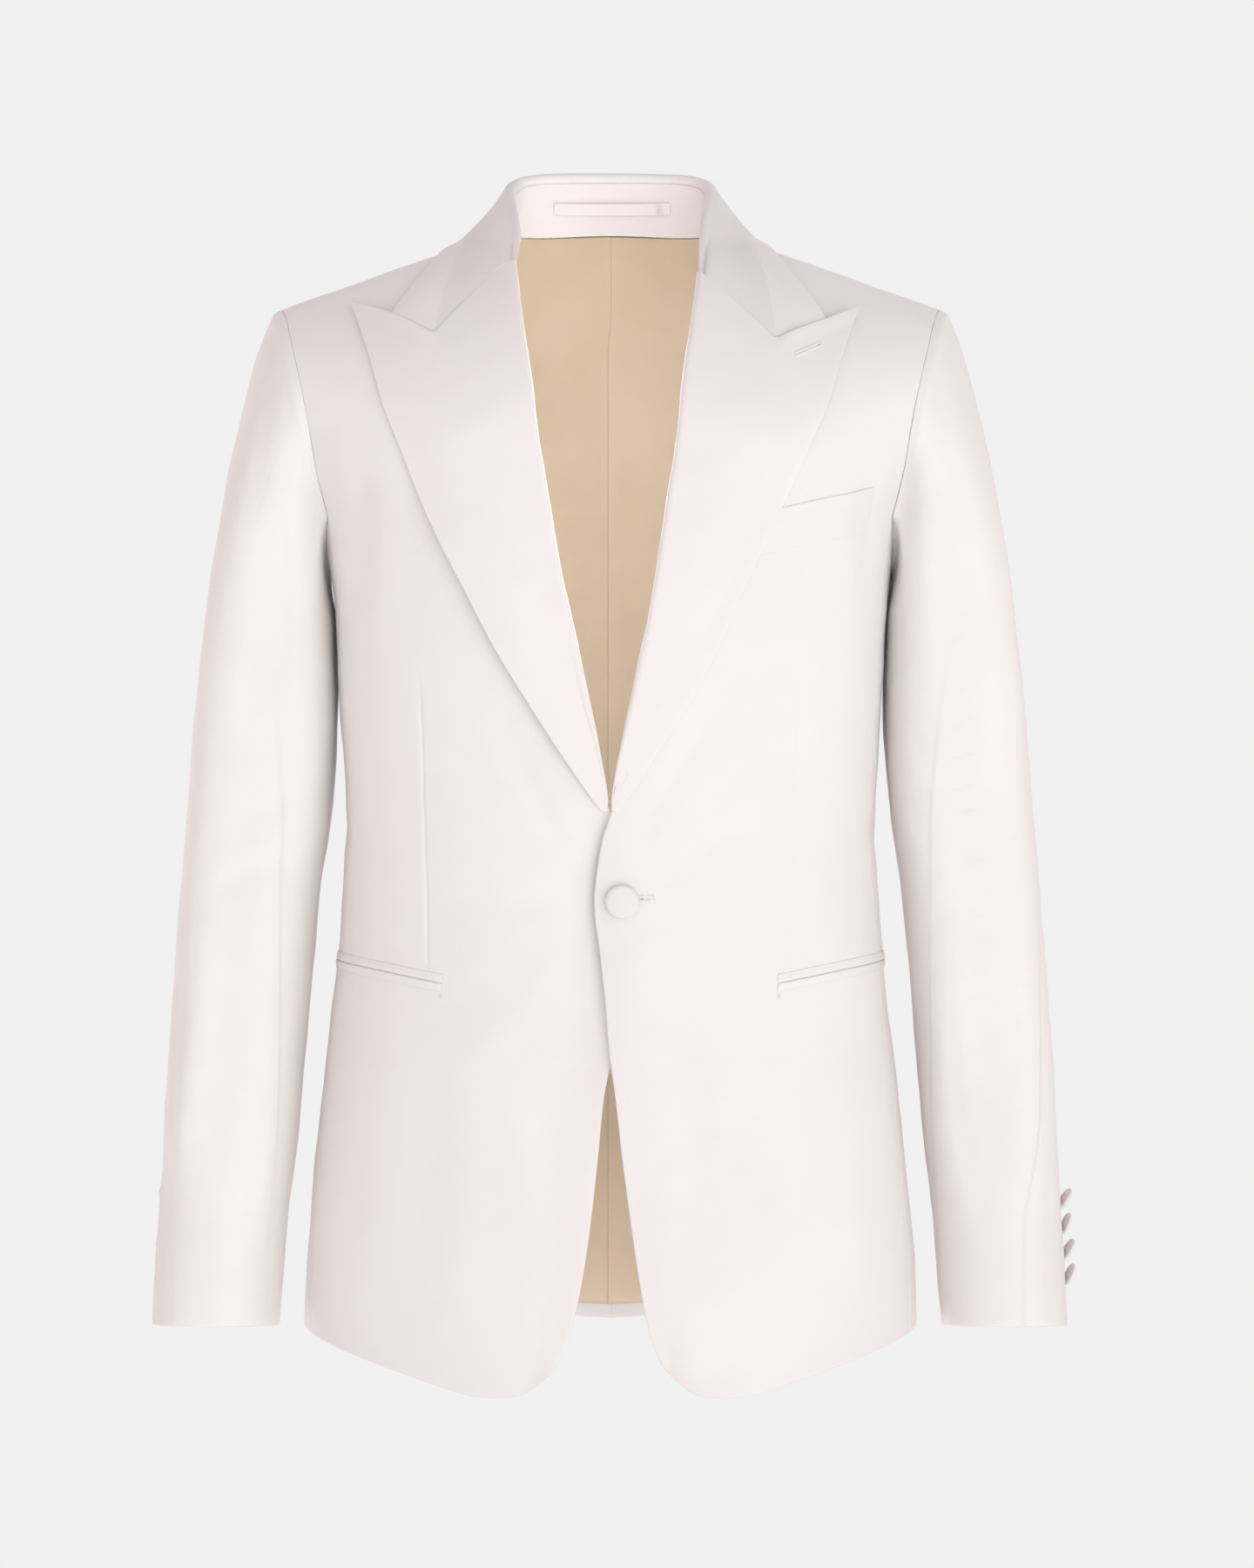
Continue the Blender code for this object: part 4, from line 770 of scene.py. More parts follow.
def shell(name, wall, thickness, finish, **sewn):
    """A closed wall: the points are its outer face, and the inner face lies behind. Its free edges are round,
    and the ones given another depth are sewn, so that two of them meet in a shallow groove."""
    points, normals = wall
    rows, columns = points.shape[:2]
    thickness = np.broadcast_to(thickness, points.shape[:2])
    sink = np.zeros(points.shape[:2])
    near = np.ones(points.shape[:2])
    for edge, distance in from_edges(points).items():
        depth = sewn.get(edge, FREE_EDGE)
        bend = np.clip(1.0 - distance / (thickness * EDGE_ROUND), 0.0, 1.0)
        sink = np.maximum(sink, thickness * depth * (1.0 - np.sqrt(1.0 - bend**2)))
        near = np.minimum(near, distance + (SEWN_EDGE_SPARED if edge in sewn else 0.0))
    outer = (points - normals * sink[..., None]).reshape(-1, 3)
    inner = (points - normals * (thickness - sink)[..., None]).reshape(-1, 3)
    index = np.arange(rows * columns).reshape(rows, columns)
    faces = np.stack([index[:-1, :-1], index[:-1, 1:], index[1:, 1:], index[1:, :-1]], -1).reshape(-1, 4)
    rim = np.concatenate([index[0, :], index[1:, -1], index[-1, -2::-1], index[-2:0:-1, 0]])
    after = np.roll(rim, -1)
    shift = rows * columns
    rims = np.stack([after, rim, rim + shift, after + shift], -1)
    faces = np.concatenate([faces, faces[:, ::-1] + shift, rims])
    row, column = rows // 2, columns // 2
    ahead = points[row, column + 1] - points[row, column]
    looks = np.cross(ahead, points[row + 1, column] - points[row, column])
    if np.dot(looks, normals[row, column]) < 0:
        faces = faces[:, ::-1]
    flat = np.stack([lengths(points, 1), lengths(points, 0)], -1).reshape(-1, 2)
    made = piece(name, np.concatenate([outer, inner]), faces.tolist(), finish, np.concatenate([flat, flat]))
    edge_near = made.data.attributes.new("edge_near", "FLOAT", "POINT")
    closeness = np.exp(-near.reshape(-1) / RUBBED_BREADTH)
    edge_near.data.foreach_set("value", np.concatenate([closeness, closeness]).astype(np.float32))
    return made


# Finishes.


def join(tree, sockets, inputs):
    """Sets each socket, by its title or place, to a value, or joins another node's output to it."""
    for title, value in inputs.items():
        if isinstance(value, bpy.types.NodeSocket):
            tree.links.new(value, sockets[title])
        else:
            sockets[title].default_value = value


def new_node(tree, kind, inputs=None, **settings):
    made = tree.nodes.new(kind)
    for key, value in settings.items():
        setattr(made, key, value)
    join(tree, made.inputs, inputs or {})
    return made


def arithmetic(tree, operation, *values):
    return new_node(tree, "ShaderNodeMath", dict(enumerate(values)), operation=operation).outputs[0]


def new_group(name, inputs, outputs, tree_kind="ShaderNodeTree"):
    """A group with named sockets, and its inputs."""
    group = bpy.data.node_groups.new(name, tree_kind)
    for title, (kind, value) in inputs.items():
        socket = group.interface.new_socket(title, in_out="INPUT", socket_type="NodeSocket" + kind)
        if value is not None:
            socket.default_value = value
    for title, kind in outputs.items():
        group.interface.new_socket(title, in_out="OUTPUT", socket_type="NodeSocket" + kind)
    return group, group.nodes.new("NodeGroupInput").outputs


def weave_group():
    """Threads crossing at a spacing: a plain weave at Twill 0, and slanting ribs at Twill 1."""
    group, given = new_group(
        "crossing_threads",
        {
            "Place": ("Vector", None),
            "Threads apart": ("Float", 0.0005),
            "Twill": ("Float", 1.0),
            "Wander": ("Float", 0.0001),
        },
        {"Height": "Float"},
    )
    do = partial(arithmetic, group)
    noise = new_node(group, "ShaderNodeTexNoise", {"Scale": 180.0, "Detail": 1.0, "Vector": given["Place"]})
    drift = do("MULTIPLY", do("SUBTRACT", noise.outputs["Fac"], 0.5), given["Wander"])
    place = new_node(group, "ShaderNodeSeparateXYZ", {0: given["Place"]}).outputs
    turns = do("DIVIDE", 2 * math.pi, given["Threads apart"])
    across = do("MULTIPLY", do("ADD", place["X"], drift), turns)
    along = do("MULTIPLY", do("SUBTRACT", place["Y"], drift), turns)
    plain = do("MULTIPLY", do("SINE", across), do("SINE", along))
    ribs = do("MULTIPLY", do("SINE", do("ADD", across, along)), given["Twill"])
    total = do("ADD", ribs, do("MULTIPLY", plain, do("SUBTRACT", 1.0, given["Twill"])))
    new_node(group, "NodeGroupOutput", {"Height": do("ADD", do("MULTIPLY", total, 0.5), 0.5)})
    return group


def drift_group():
    """A colour that drifts to a second one in soft patches, with a finer fleck over it."""
    group, given = new_group(
        "colour_drift",
        {
            "Place": ("Vector", None),
            "Colour": ("Color", (0.8, 0.8, 0.8, 1.0)),
            "Second colour": ("Color", (0.7, 0.7, 0.7, 1.0)),
            "Patch": ("Float", 18.0),
            "Fleck": ("Float", 0.03),
        },
        {"Colour": "Color", "Patches": "Float"},
    )
    do = partial(arithmetic, group)
    noise = partial(new_node, group, "ShaderNodeTexNoise")
    patches = noise({"Vector": given["Place"], "Scale": given["Patch"], "Detail": 3.0})
    flecks = noise({"Vector": given["Place"], "Scale": 900.0, "Detail": 2.0})
    spread = new_node(
        group, "ShaderNodeMapRange", {"Value": patches.outputs["Fac"], "From Min": 0.35, "From Max": 0.65}
    ).outputs["Result"]
    both = new_node(
        group, "ShaderNodeMix",
        {"Factor": spread, "A": given["Colour"], "B": given["Second colour"]}, data_type="RGBA",
    ).outputs["Result"]
    shade = do("MULTIPLY", do("SUBTRACT", flecks.outputs["Fac"], 0.5), given["Fleck"])
    bright = new_node(group, "ShaderNodeHueSaturation", {"Value": do("ADD", shade, 1.0), "Color": both})
    new_node(group, "NodeGroupOutput", {"Colour": bright.outputs["Color"], "Patches": spread})
    return group


def nap_group():
    """The fine uneven fibres that stand on the weave."""
    group, given = new_group(
        "fibre_nap", {"Place": ("Vector", None), "Fibres": ("Float", 1400.0)}, {"Height": "Float"}
    )
    do = partial(arithmetic, group)
    noise = partial(new_node, group, "ShaderNodeTexNoise")
    fine = noise({"Vector": given["Place"], "Scale": given["Fibres"], "Detail": 2.0})
    coarse = noise({"Vector": given["Place"], "Scale": 260.0, "Detail": 2.0})
    both = do("ADD", fine.outputs["Fac"], do("MULTIPLY", coarse.outputs["Fac"], 1.5))
    new_node(group, "NodeGroupOutput", {"Height": do("MULTIPLY", both, 0.4)})
    return group


CROSSING_THREADS = weave_group()
COLOUR_DRIFT = drift_group()
FIBRE_NAP = nap_group()

SHEEN_TINT = (1.0, 0.97, 0.94, 1.0)
CLOTH_IOR = 1.45
GLOSS_SPREAD = 0.05
RUBBED = 0.5
Finish = namedtuple(
    "Finish",
    "colour second edge roughness sheen sheen_roughness "
    "threads_apart twill weave_height nap_height patch fleck",
)


def cloth_finish(name, *values):
    """A woven cloth: threads, nap, soft changes of colour and gloss, and edges a little rubbed."""
    cloth = Finish(*values)
    made = bpy.data.materials.new(name)
    made.use_nodes = True
    tree = made.node_tree
    add, do = partial(new_node, tree), partial(arithmetic, tree)
    where = add("ShaderNodeTexCoord").outputs
    drift = add("ShaderNodeGroup", {
        "Place": where["Object"],
        "Colour": (*cloth.colour, 1.0),
        "Second colour": (*cloth.second, 1.0),
        "Patch": cloth.patch,
        "Fleck": cloth.fleck,
    }, node_tree=COLOUR_DRIFT).outputs
    near = add("ShaderNodeAttribute", attribute_name="edge_near").outputs["Fac"]
    rubbed = add("ShaderNodeMix", {
        "Factor": do("MULTIPLY", near, RUBBED),
        "A": drift["Colour"],
        "B": (*cloth.edge, 1.0),
    }, data_type="RGBA")
    gloss = add("ShaderNodeMapRange", {
        "Value": drift["Patches"],
        "To Min": cloth.roughness - GLOSS_SPREAD,
        "To Max": cloth.roughness + GLOSS_SPREAD,
    })
    weave = add("ShaderNodeGroup", {
        "Place": where["UV"],
        "Threads apart": cloth.threads_apart,
        "Twill": cloth.twill,
    }, node_tree=CROSSING_THREADS)
    nap = add("ShaderNodeGroup", {"Place": where["Object"]}, node_tree=FIBRE_NAP)
    threads = do("MULTIPLY", weave.outputs["Height"], cloth.weave_height)
    fibres = do("MULTIPLY", nap.outputs["Height"], cloth.nap_height)
    bump = add("ShaderNodeBump", {"Distance": 1.0, "Height": do("ADD", threads, fibres)})
    join(tree, tree.nodes["Principled BSDF"].inputs, {
        "Base Color": rubbed.outputs["Result"],
        "Roughness": gloss.outputs["Result"],
        "Normal": bump.outputs["Normal"],
        "Sheen Weight": cloth.sheen,
        "Sheen Roughness": cloth.sheen_roughness,
        "Sheen Tint": SHEEN_TINT,
        "IOR": CLOTH_IOR,
    })
    return made


IVORY_WOOL = cloth_finish(
    "ivory_wool", (0.865, 0.838, 0.812), (0.850, 0.820, 0.792), (0.890, 0.868, 0.848),
    0.58, 0.60, 0.50, 0.00055, 0.8, 0.00005, 0.00004, 14.0, 0.030,
)
IVORY_SATIN = cloth_finish(
    "ivory_satin", (0.858, 0.826, 0.802), (0.842, 0.808, 0.782), (0.892, 0.868, 0.850),
    0.44, 0.50, 0.45, 0.00040, 0.9, 0.00003, 0.00003, 17.0, 0.022,
)
STAND_WOOL = cloth_finish(
    "stand_wool", (0.885, 0.832, 0.812), (0.868, 0.808, 0.784), (0.900, 0.852, 0.834),
    0.70, 0.50, 0.50, 0.00070, 0.0, 0.00008, 0.00008, 20.0, 0.04,
)
TRIM_SATIN = cloth_finish(
    "trim_satin", (0.860, 0.830, 0.804), (0.842, 0.810, 0.782), (0.885, 0.858, 0.836),
    0.50, 0.50, 0.45, 0.00045, 0.9, 0.00004, 0.00003, 20.0, 0.03,
)
BUTTON_SATIN = cloth_finish(
    "button_satin", (0.860, 0.824, 0.796), (0.835, 0.796, 0.766), (0.885, 0.855, 0.832),
    0.40, 0.50, 0.40, 0.00050, 1.0, 0.00005, 0.00003, 60.0, 0.035,
)
TAN_LINING = cloth_finish(
    "tan_lining", (0.765, 0.630, 0.462), (0.735, 0.596, 0.424), (0.800, 0.670, 0.505),
    0.36, 0.20, 0.30, 0.00045, 1.0, 0.00003, 0.00002, 16.0, 0.03,
)
SEWING_THREAD = cloth_finish(
    "sewing_thread", (0.870, 0.840, 0.808), (0.842, 0.806, 0.768), (0.885, 0.858, 0.830),
    0.50, 0.40, 0.40, 0.00030, 1.0, 0.00003, 0.00002, 80.0, 0.06,
)
# Painted shade: a dark colour for the buttonhole slits, standing in for the shadow inside their openings.
PAINTED_SLIT_SHADE = cloth_finish(
    "painted_slit_shade", (0.430, 0.350, 0.270), (0.390, 0.310, 0.235), (0.470, 0.385, 0.300),
    0.80, 0.10, 0.50, 0.00050, 0.0, 0.00006, 0.00006, 60.0, 0.06,
)


# Body panels, worked out for the wearer's left.


def meet(edge, turns):
    x = np.full(np.shape(turns), edge[-1].x)
    for _ in range(MEET_ROUNDS):
        x = between(edge, arch_z(x, turns))[0]
    return x


def lower_heights():
    """Heights of the lower rows at the front edge, at the side seams and at the centre back."""
    first, last = LOWER_ROWS[0].front_edge, LOWER_ROWS[-1].front_edge
    edge = mix(first, last, spaced(last - first, end=False))
    side, back = between(LOWER_ROWS, edge)
    return edge, side, back


def with_arch(lower, x, z, top_x, turns, back, out):
    """The lower rows and those on the arch, with a few between them so that no wide gap is left, and the
    place of the last lower row."""
    turns = np.broadcast_to(turns[:, None], top_x.shape)
    arch_heights = arch_z(top_x, turns)
    share = np.arange(1, BRIDGE_ROWS + 1)[:, None] / (BRIDGE_ROWS + 1)
    bridge_x, bridge_z = mix(x[-1], top_x[0], share), mix(z[-1], arch_heights[0], share)
    bridge = on_form(bridge_x, bridge_z, back, out(bridge_x, bridge_z))
    walls = [lower, bridge, on_arch(top_x, turns, back, out(top_x, arch_heights))]
    return Wall(*(np.concatenate(parts) for parts in zip(*walls))), len(x) - 1


def front_panel(side):
    edge_table = [Edge(row.height, row.x - (row.beneath if side < 0 else 0.0)) for row in FRONT_EDGE]
    edge_z, seam_z, _ = lower_heights()
    first = LOWER_ROWS[0]
    x_edge = between(edge_table, edge_z)[0][:, None]
    x_seam = (between(FORM, seam_z)[0] * SIDE_SEAM_FRONT)[:, None]
    x_dart = between(DART, mix(edge_z, seam_z, DART_SHARE))[0][:, None]
    inner = spaced(DART_SHARE * FRONT_BREADTH)
    outer = spaced((1 - DART_SHARE) * FRONT_BREADTH)[1:]
    x = np.concatenate([mix(x_edge, x_dart, inner), mix(x_dart, x_seam, outer)], 1)
    share = (x - x_edge) / (x_seam - x_edge)
    z = mix(edge_z[:, None], seam_z[:, None], share)
    pull = fade(edge_z, first.front_edge, HEM_BEND_END_FRONT)[:, None]
    z = z + pull * (between(FRONT_HEM, x)[0] - mix(first.front_edge, first.side_seam, share))

    def out(x, z):
        return side * lap(x, z)

    dart_on = fade(z, *DART_HIGH) * fade(z, *DART_LOW)
    from_dart = np.abs(x - x_dart) / DART_WIDTH
    groove = np.exp(-(from_dart**2)) - DART_BESIDE * np.exp(-((from_dart / 4) ** 2))
    lower = moved_out(on_form(x, z, False, out(x, z)), -(DART_DEPTH[side] * groove * dart_on))
    top_edge, top_arm = (meet(edge, ARCH_TURNS)[:, None] for edge in (edge_table, ARMHOLE_FRONT))
    top_dart = mix(top_edge, top_arm, ((x_dart - x_edge) / (x_seam - x_edge))[-1, 0])
    top_x = np.concatenate([mix(top_edge, top_dart, inner), mix(top_dart, top_arm, outer)], 1)
    return with_arch(lower, x, z, top_x, ARCH_TURNS, False, out)


def neck_x(turns):
    depth = np.minimum(arch_run(0.05, turns, True) / arch_run(0.0, float(BACK_NECK_TURN), True), 1.0)
    half = BACK_NECK_HALF * np.sqrt(np.maximum(0.0, 1.0 - depth**2))
    return np.where(turns <= BACK_NECK_TURN, 0.0, half)


def back_panel():
    _, seam_z, centre_z = lower_heights()
    share = spaced(BACK_BREADTH)
    x = (between(FORM, seam_z)[0] * SIDE_SEAM_BACK)[:, None] * share
    z = mix(centre_z[:, None], seam_z[:, None], share)
    first, second = BACK_NECK_STEPS
    below = np.linspace(0.0, BACK_NECK_TURN, first)
    beyond = np.linspace(0.0, 1.0, second)[1:] ** BACK_NECK_CLOSING
    above = BACK_NECK_TURN + (ARCH_LAST - BACK_NECK_TURN) * beyond
    turns = np.concatenate([below, above, ARCH_END])
    top_x = mix(neck_x(turns)[:, None], meet(ARMHOLE_BACK, turns)[:, None], share)
    return with_arch(on_form(x, z, True), x, z, top_x, turns, True, lambda x, z: 0.0 * x)


def turn_of(x, z, back):
    return np.degrees(np.arctan2(x, -form_y(x, z, back)))[:, None]


def side_panel():
    _, z, _ = lower_heights()
    top, bottom = LOWER_ROWS[-1], LOWER_ROWS[0]
    half = between(FORM, z)[0]
    first, last = turn_of(half * SIDE_SEAM_FRONT, z, False), turn_of(half * SIDE_SEAM_BACK, z, True)
    dip = ARMHOLE_DIP * fade(z, top.side_seam, DIP_END)
    drop = (SIDE_HEM_MIDDLE - bottom.side_seam) * fade(z, bottom.side_seam, HEM_BEND_END_SIDE)
    share = spaced(SIDE_BREADTH)
    return on_girth(mix(first, last, share), z[:, None] - (dip - drop)[:, None] * hump(share))


# Sleeves.


def armhole(front, front_low, side, back, back_low):
    """Points round the armhole: from the shoulder down the front, under the arm and up the back."""
    down = front.points[front_low:, -1][::-1]
    under = side.points[-1, 1:-1]
    up = back.points[back_low:, -1][:-1]
    return np.concatenate([down, under, up])


def sleeve_ring(z, shares, twist):
    x_inner, x_outer, y_middle, half_depth, turned, droop = between(SLEEVE, z)
    turn = 2 * math.pi * shares + np.radians(turned * twist)
    square = mix(CUFF_SQUARE, SLEEVE_SQUARE, fade(z, *CUFF_SQUARE_HEIGHTS))
    across, ahead = (np.sign(way) * np.abs(way) ** (2 / square) for way in (np.cos(turn), np.sin(turn)))
    y = y_middle - half_depth * ahead
    x = (x_inner + x_outer) / 2 + (x_outer - x_inner) / 2 * across
    return np.stack([x, y, z - droop * (y - y_middle)], -1)


def sleeve_half(loop, side, first, last):
    """One of a sleeve's two pieces, between two shares of the way round from the shoulder."""
    twist = SLEEVE_TWIST[side]
    closed = np.concatenate([loop, loop[:1]])
    way = lengths(closed, 0)
    shares = mix(first, last, spaced((last - first) * SLEEVE_GIRTH))
    at = (shares % 1.0) * way[-1]
    start = np.stack([np.interp(at, way, closed[:, axis]) for axis in range(3)], -1)
    head_end = SLEEVE[-1].height
    end = sleeve_ring(np.full(len(shares), head_end), shares, twist)
    below = sleeve_ring(np.full(len(shares), head_end - HEAD_SLACK), shares, twist)
    low, high = loop[:, 2].min(), loop[:, 2].max()
    height = ((start[:, 2] - low) / (high - low))[:, None]
    start = start + ARMHOLE_FACES * ARMHOLE_GAP
    leave = ARMHOLE_FACES * mix(UNDERARM_FULLNESS, HEAD_FULLNESS, height) - UP * UNDERARM_SAG * (1 - height)
    arrive = unit(below - end) * np.linalg.norm(end - start, axis=-1, keepdims=True)
    steps = np.concatenate([HEAD_STEPS, np.arange(HEAD_STEPS[-1] + HEAD_STEP, HEAD_STEPS_END, HEAD_STEP)])
    t = steps[:, None, None]
    head = start * (2 * t**3 - 3 * t**2 + 1) + end * (3 * t**2 - 2 * t**3)
    head = head + leave * (t**3 - 2 * t**2 + t) + arrive * (t**3 - t**2)
    length = head_end - SLEEVE[0].height
    z = mix(head_end, SLEEVE[0].height, spaced(length, start=False))[:, None]
    lower = sleeve_ring(np.broadcast_to(z, (len(z), len(shares))), shares[None, :], twist)
    points = np.concatenate([head, lower])
    x_inner, x_outer, y_middle, _, turned, _ = between(SLEEVE, points[..., 2])
    axis = np.stack([(x_inner + x_outer) / 2, y_middle, points[..., 2]], -1)
    wall = Wall(points, grid_normals(points, axis))
    rope = ROPE_HEIGHT * np.exp(-(((lengths(points, 0) - ROPE_FROM_SEAM) / ROPE_WIDTH) ** 2))
    wall = moved_out(wall, rope * fade(height[:, 0], *ROPE_HEIGHTS)[None, :])
    turns = (np.degrees(2 * math.pi * shares)[None, :] + turned * twist + 180) % 360 - 180
    pull = SLEEVE_GIRTH / 360
    creases = [
        crease._replace(turn_a=crease.turn_a * pull, turn_b=crease.turn_b * pull)
        for crease in SLEEVE_CREASES[side]
    ]
    return creased(wall, turns * pull, wall.points[..., 2], creases)


def vented(wall):
    """The upper sleeve with its edge standing over the under one at the cuff's vent."""
    near = fade(lengths(wall.points, 1), 0.0, VENT_WIDTH)
    return moved_out(wall, VENT_LIFT * near * fade(wall.points[..., 2], *VENT_TOP))


# Lapels and collar.


def level_on(line, x):
    return np.interp(x, [place[0] for place in line], [place[1] for place in line])


def lapel(side):
    """The turned-back lapel, from inside the front, round its roll and over the front to its free edge,
    and how thick it is at each point."""
    lapel_rows = LAPEL_ROWS[:-2] + LEFT_LAPEL_TOP if side > 0 else LAPEL_ROWS
    tip = lapel_rows[-1]
    gorge = GORGE[side]

    def edge_x(z):
        return between(LAPEL_EDGE, z)[0] + LAPEL_EDGE_SHIFT[side] * fade(z, *LAPEL_SHIFT_REACH)

    def roll_x(z):
        return between(ROLL_LINE, z)[0] + between(ROLL_SHIFT[side], z)[0]

    x_roll, x_tip = float(roll_x(tip.roll)), float(edge_x(tip.edge))
    top = [(x_roll, tip.roll), gorge.bend, gorge.corner, gorge.notch, (x_tip, tip.edge)]
    along = spaced(LAPEL_LENGTH)
    roll_z, edge_z, dip = (values[:, None] for values in between(lapel_rows, along))
    start = roll_x(roll_z)
    width = edge_x(edge_z) - start
    corners = [(place[0] - x_roll) / (x_tip - x_roll) for place in (gorge.corner, gorge.notch)]
    parts = [0.0, *corners, 1.0]
    shares = []
    for index, (a, b) in enumerate(zip(parts, parts[1:])):
        steps = spaced((b - a) * LAPEL_BREADTH, start=False, end=index == 2, pitch=FINE_PITCH)
        shares.extend(mix(a, b, steps)[1:])
    shares = np.array(shares)
    round_here = mix(ROLL_ROUND_LEAST, ROLL_ROUND, fade(roll_z, *ROLL_LOW_END))
    round_here = np.minimum(round_here, ROLL_SHARE_MOST * width)
    lifted = mix(LAYER + LAPEL_CLOTH, LOW_END_LIFT, fade(roll_z, *LAPEL_LOW_END))
    bends = np.linspace(0.0, math.pi, 2 * ROLL_POINTS + 1)
    roll_reach = round_here * (1 - np.sin(bends))
    roll_rise = lifted - round_here - round_here * np.cos(bends)
    tail = np.minimum(ROLL_TAIL, TAIL_SHARE_MOST * width)
    tail_reach = np.concatenate([mix(tail, round_here, step) for step in TAIL_STEPS], 1)
    tail_rise = np.broadcast_to(lifted - 2 * round_here, tail_reach.shape)
    over_reach = round_here + (width - round_here) * shares
    from_free = width * (1.0 - shares)
    over_rise = lifted + LAPEL_BELLY * hump(np.clip(shares, 0, 1)) ** 2 * fade(width, *BELLY_WIDTHS)
    close = CLOSE_SHARE[side] * fade(from_free, 0.0, CLOSE_BREADTH) * fade(edge_z, *CLOSE_BELOW)
    over_rise = np.where(over_rise > CLOSE_RISE, mix(over_rise, CLOSE_RISE, close), over_rise)
    stands = fade(edge_z, *STAND_OFF_TOP) * fade(edge_z, *STAND_OFF_LOW)
    over_rise = over_rise + STAND_OFF[side] * (fade(from_free, 0.0, STAND_OFF_BREADTH) * stands)
    point = POINT_LIFT[side] * fade(LAPEL_LENGTH * (1.0 - along)[:, None], 0.0, POINT_LIFT_DEPTH)
    over_rise = over_rise + point * fade(shares, corners[0] + POINT_LIFT_FADE, corners[0])
    reach = np.concatenate([tail_reach, roll_reach, over_reach], 1)
    rise = np.concatenate([tail_rise, roll_rise, over_rise], 1)
    thick = np.full(reach.shape, FOLDED_CLOTH)
    thick[:, -len(shares):] = mix(FOLDED_CLOTH, EDGE_CLOTH, close)
    x = start + reach
    share = reach / width
    level = level_on(top, mix(x_roll, x_tip, share)) - mix(tip.roll, tip.edge, share)
    z = mix(roll_z, edge_z, share) + dip * level
    base = on_form(x, z, False, rise + side * lap(x, z))
    return Wall(base.points, grid_normals(base.points, base.points - base.normals)), thick


def leaf_direction(along):
    before = between(COLLAR, np.maximum(along - COLLAR_LOOK, 0.0))
    after = between(COLLAR, along + COLLAR_LOOK)
    return unit(np.stack([after[1] - before[1], before[0] - after[0], 0.0 * along], -1))


def gorge_places(shares, side):
    gorge = GORGE[side]
    down = mix(GORGE_FIRST, 1.0, shares / LEAF_CORNER_SHARE)
    out = (shares - LEAF_CORNER_SHARE) / (1 - LEAF_CORNER_SHARE)
    first = shares <= LEAF_CORNER_SHARE
    x = np.where(first, mix(gorge.top[0], gorge.corner[0], down), mix(gorge.corner[0], gorge.notch[0], out))
    z = level_on(gorge, x) - LEAF_UNDER * fade(shares, *LEAF_UNDER_SHARE)
    return np.stack([x, form_y(x, z, False), z], -1)


def both_sides(left, right):
    return np.concatenate([left, (right * MIRROR)[-2::-1]])


def leaf_half(side):
    """Half of the turned-down leaf from its front end: from inside the fold, over it and down to the edge."""
    along = np.concatenate([LEAF_END_STEPS, np.linspace(0.0, 1.0, COLLAR_STEPS + 1)[1:]])
    fold_x, fold_y, fold_z, edge_x, edge_y, _, _, _, roll, wrap = between(COLLAR, along)
    shift = np.array(FOLD_END_SHIFT[side]) * fade(along, 0.0, FOLD_SHIFT_END)[:, None]
    fold = np.stack([fold_x, fold_y, fold_z], -1) + shift
    edge_x = edge_x + LEAF_EDGE_SHIFT[side] * fade(along, *LEAF_SHIFT_REACH)
    edge = np.stack([edge_x, edge_y, top_z(edge_x, edge_y)], -1)
    away = leaf_direction(along)
    roll = roll[:, None]
    centre = fold - UP * roll
    wrap = np.minimum(wrap, 180)
    turns = np.radians(mix(wrap[:, None], FOLD_END, np.linspace(0.0, 1.0, FOLD_POINTS)[None, :]))[..., None]
    bent = centre[:, None] + (away[:, None] * np.cos(turns) + UP * np.sin(turns)) * roll[:, None]
    tuck = mix(LEAF_TUCK_LEAST, LEAF_TUCK, (wrap - 90) / 90)[:, None]
    ending = np.radians(wrap)[:, None]
    tucked = bent[:, 0] + (UP * np.cos(ending) - away * np.sin(ending)) * tuck
    inner, outer = LEAF_CORNER_SHARE * LEAF_LENGTH, (1 - LEAF_CORNER_SHARE) * LEAF_LENGTH
    low = spaced(inner, start=False, end=False, pitch=FINE_PITCH) * LEAF_CORNER_SHARE
    high = mix(LEAF_CORNER_SHARE, 1.0, spaced(outer, start=False, pitch=FINE_PITCH))
    shares = np.concatenate([low, high[1:]])
    places = mix(bent[:, -1:], edge[:, None], shares[None, :, None])
    reach = mix(GORGE_REACH, FOLD_REACH, fade(shares, 0.0, FOLD_REACH_SHARE))
    pull = fade(along[:, None], 0.0, reach[None, :])[..., None]
    places = places + (gorge_places(shares, side)[None] - places) * pull
    full = LEAF_FULLNESS * hump(shares) * (1 - fade(along, 0.0, LEAF_FULL_FROM))[:, None]
    lift = LEAF_LIFT * fade(shares, *LEAF_LIFT_SHARE)[None, :] * fade(along, *LEAF_LIFT_REACH)[:, None]
    sink = LEAF_SINK * fade(shares, *LEAF_UNDER_SHARE)[None, :] * fade(along, 0.0, LEAF_SINK_END)[:, None]
    places = settled(places, LAYER + LAPEL_CLOTH + full + lift - sink)
    return np.concatenate([tucked[:, None], bent[:, :-1], places], 1)


def collar_leaf():
    """The turned-down leaf, front end to front end."""
    points = both_sides(leaf_half(1), leaf_half(-1))
    normals = grid_normals(points, np.zeros(3))
    for row in (0, -1):
        normals[row, FOLD_POINTS:] = unit(gradient(outside, points[row, FOLD_POINTS:], False))
    return Wall(points, normals)


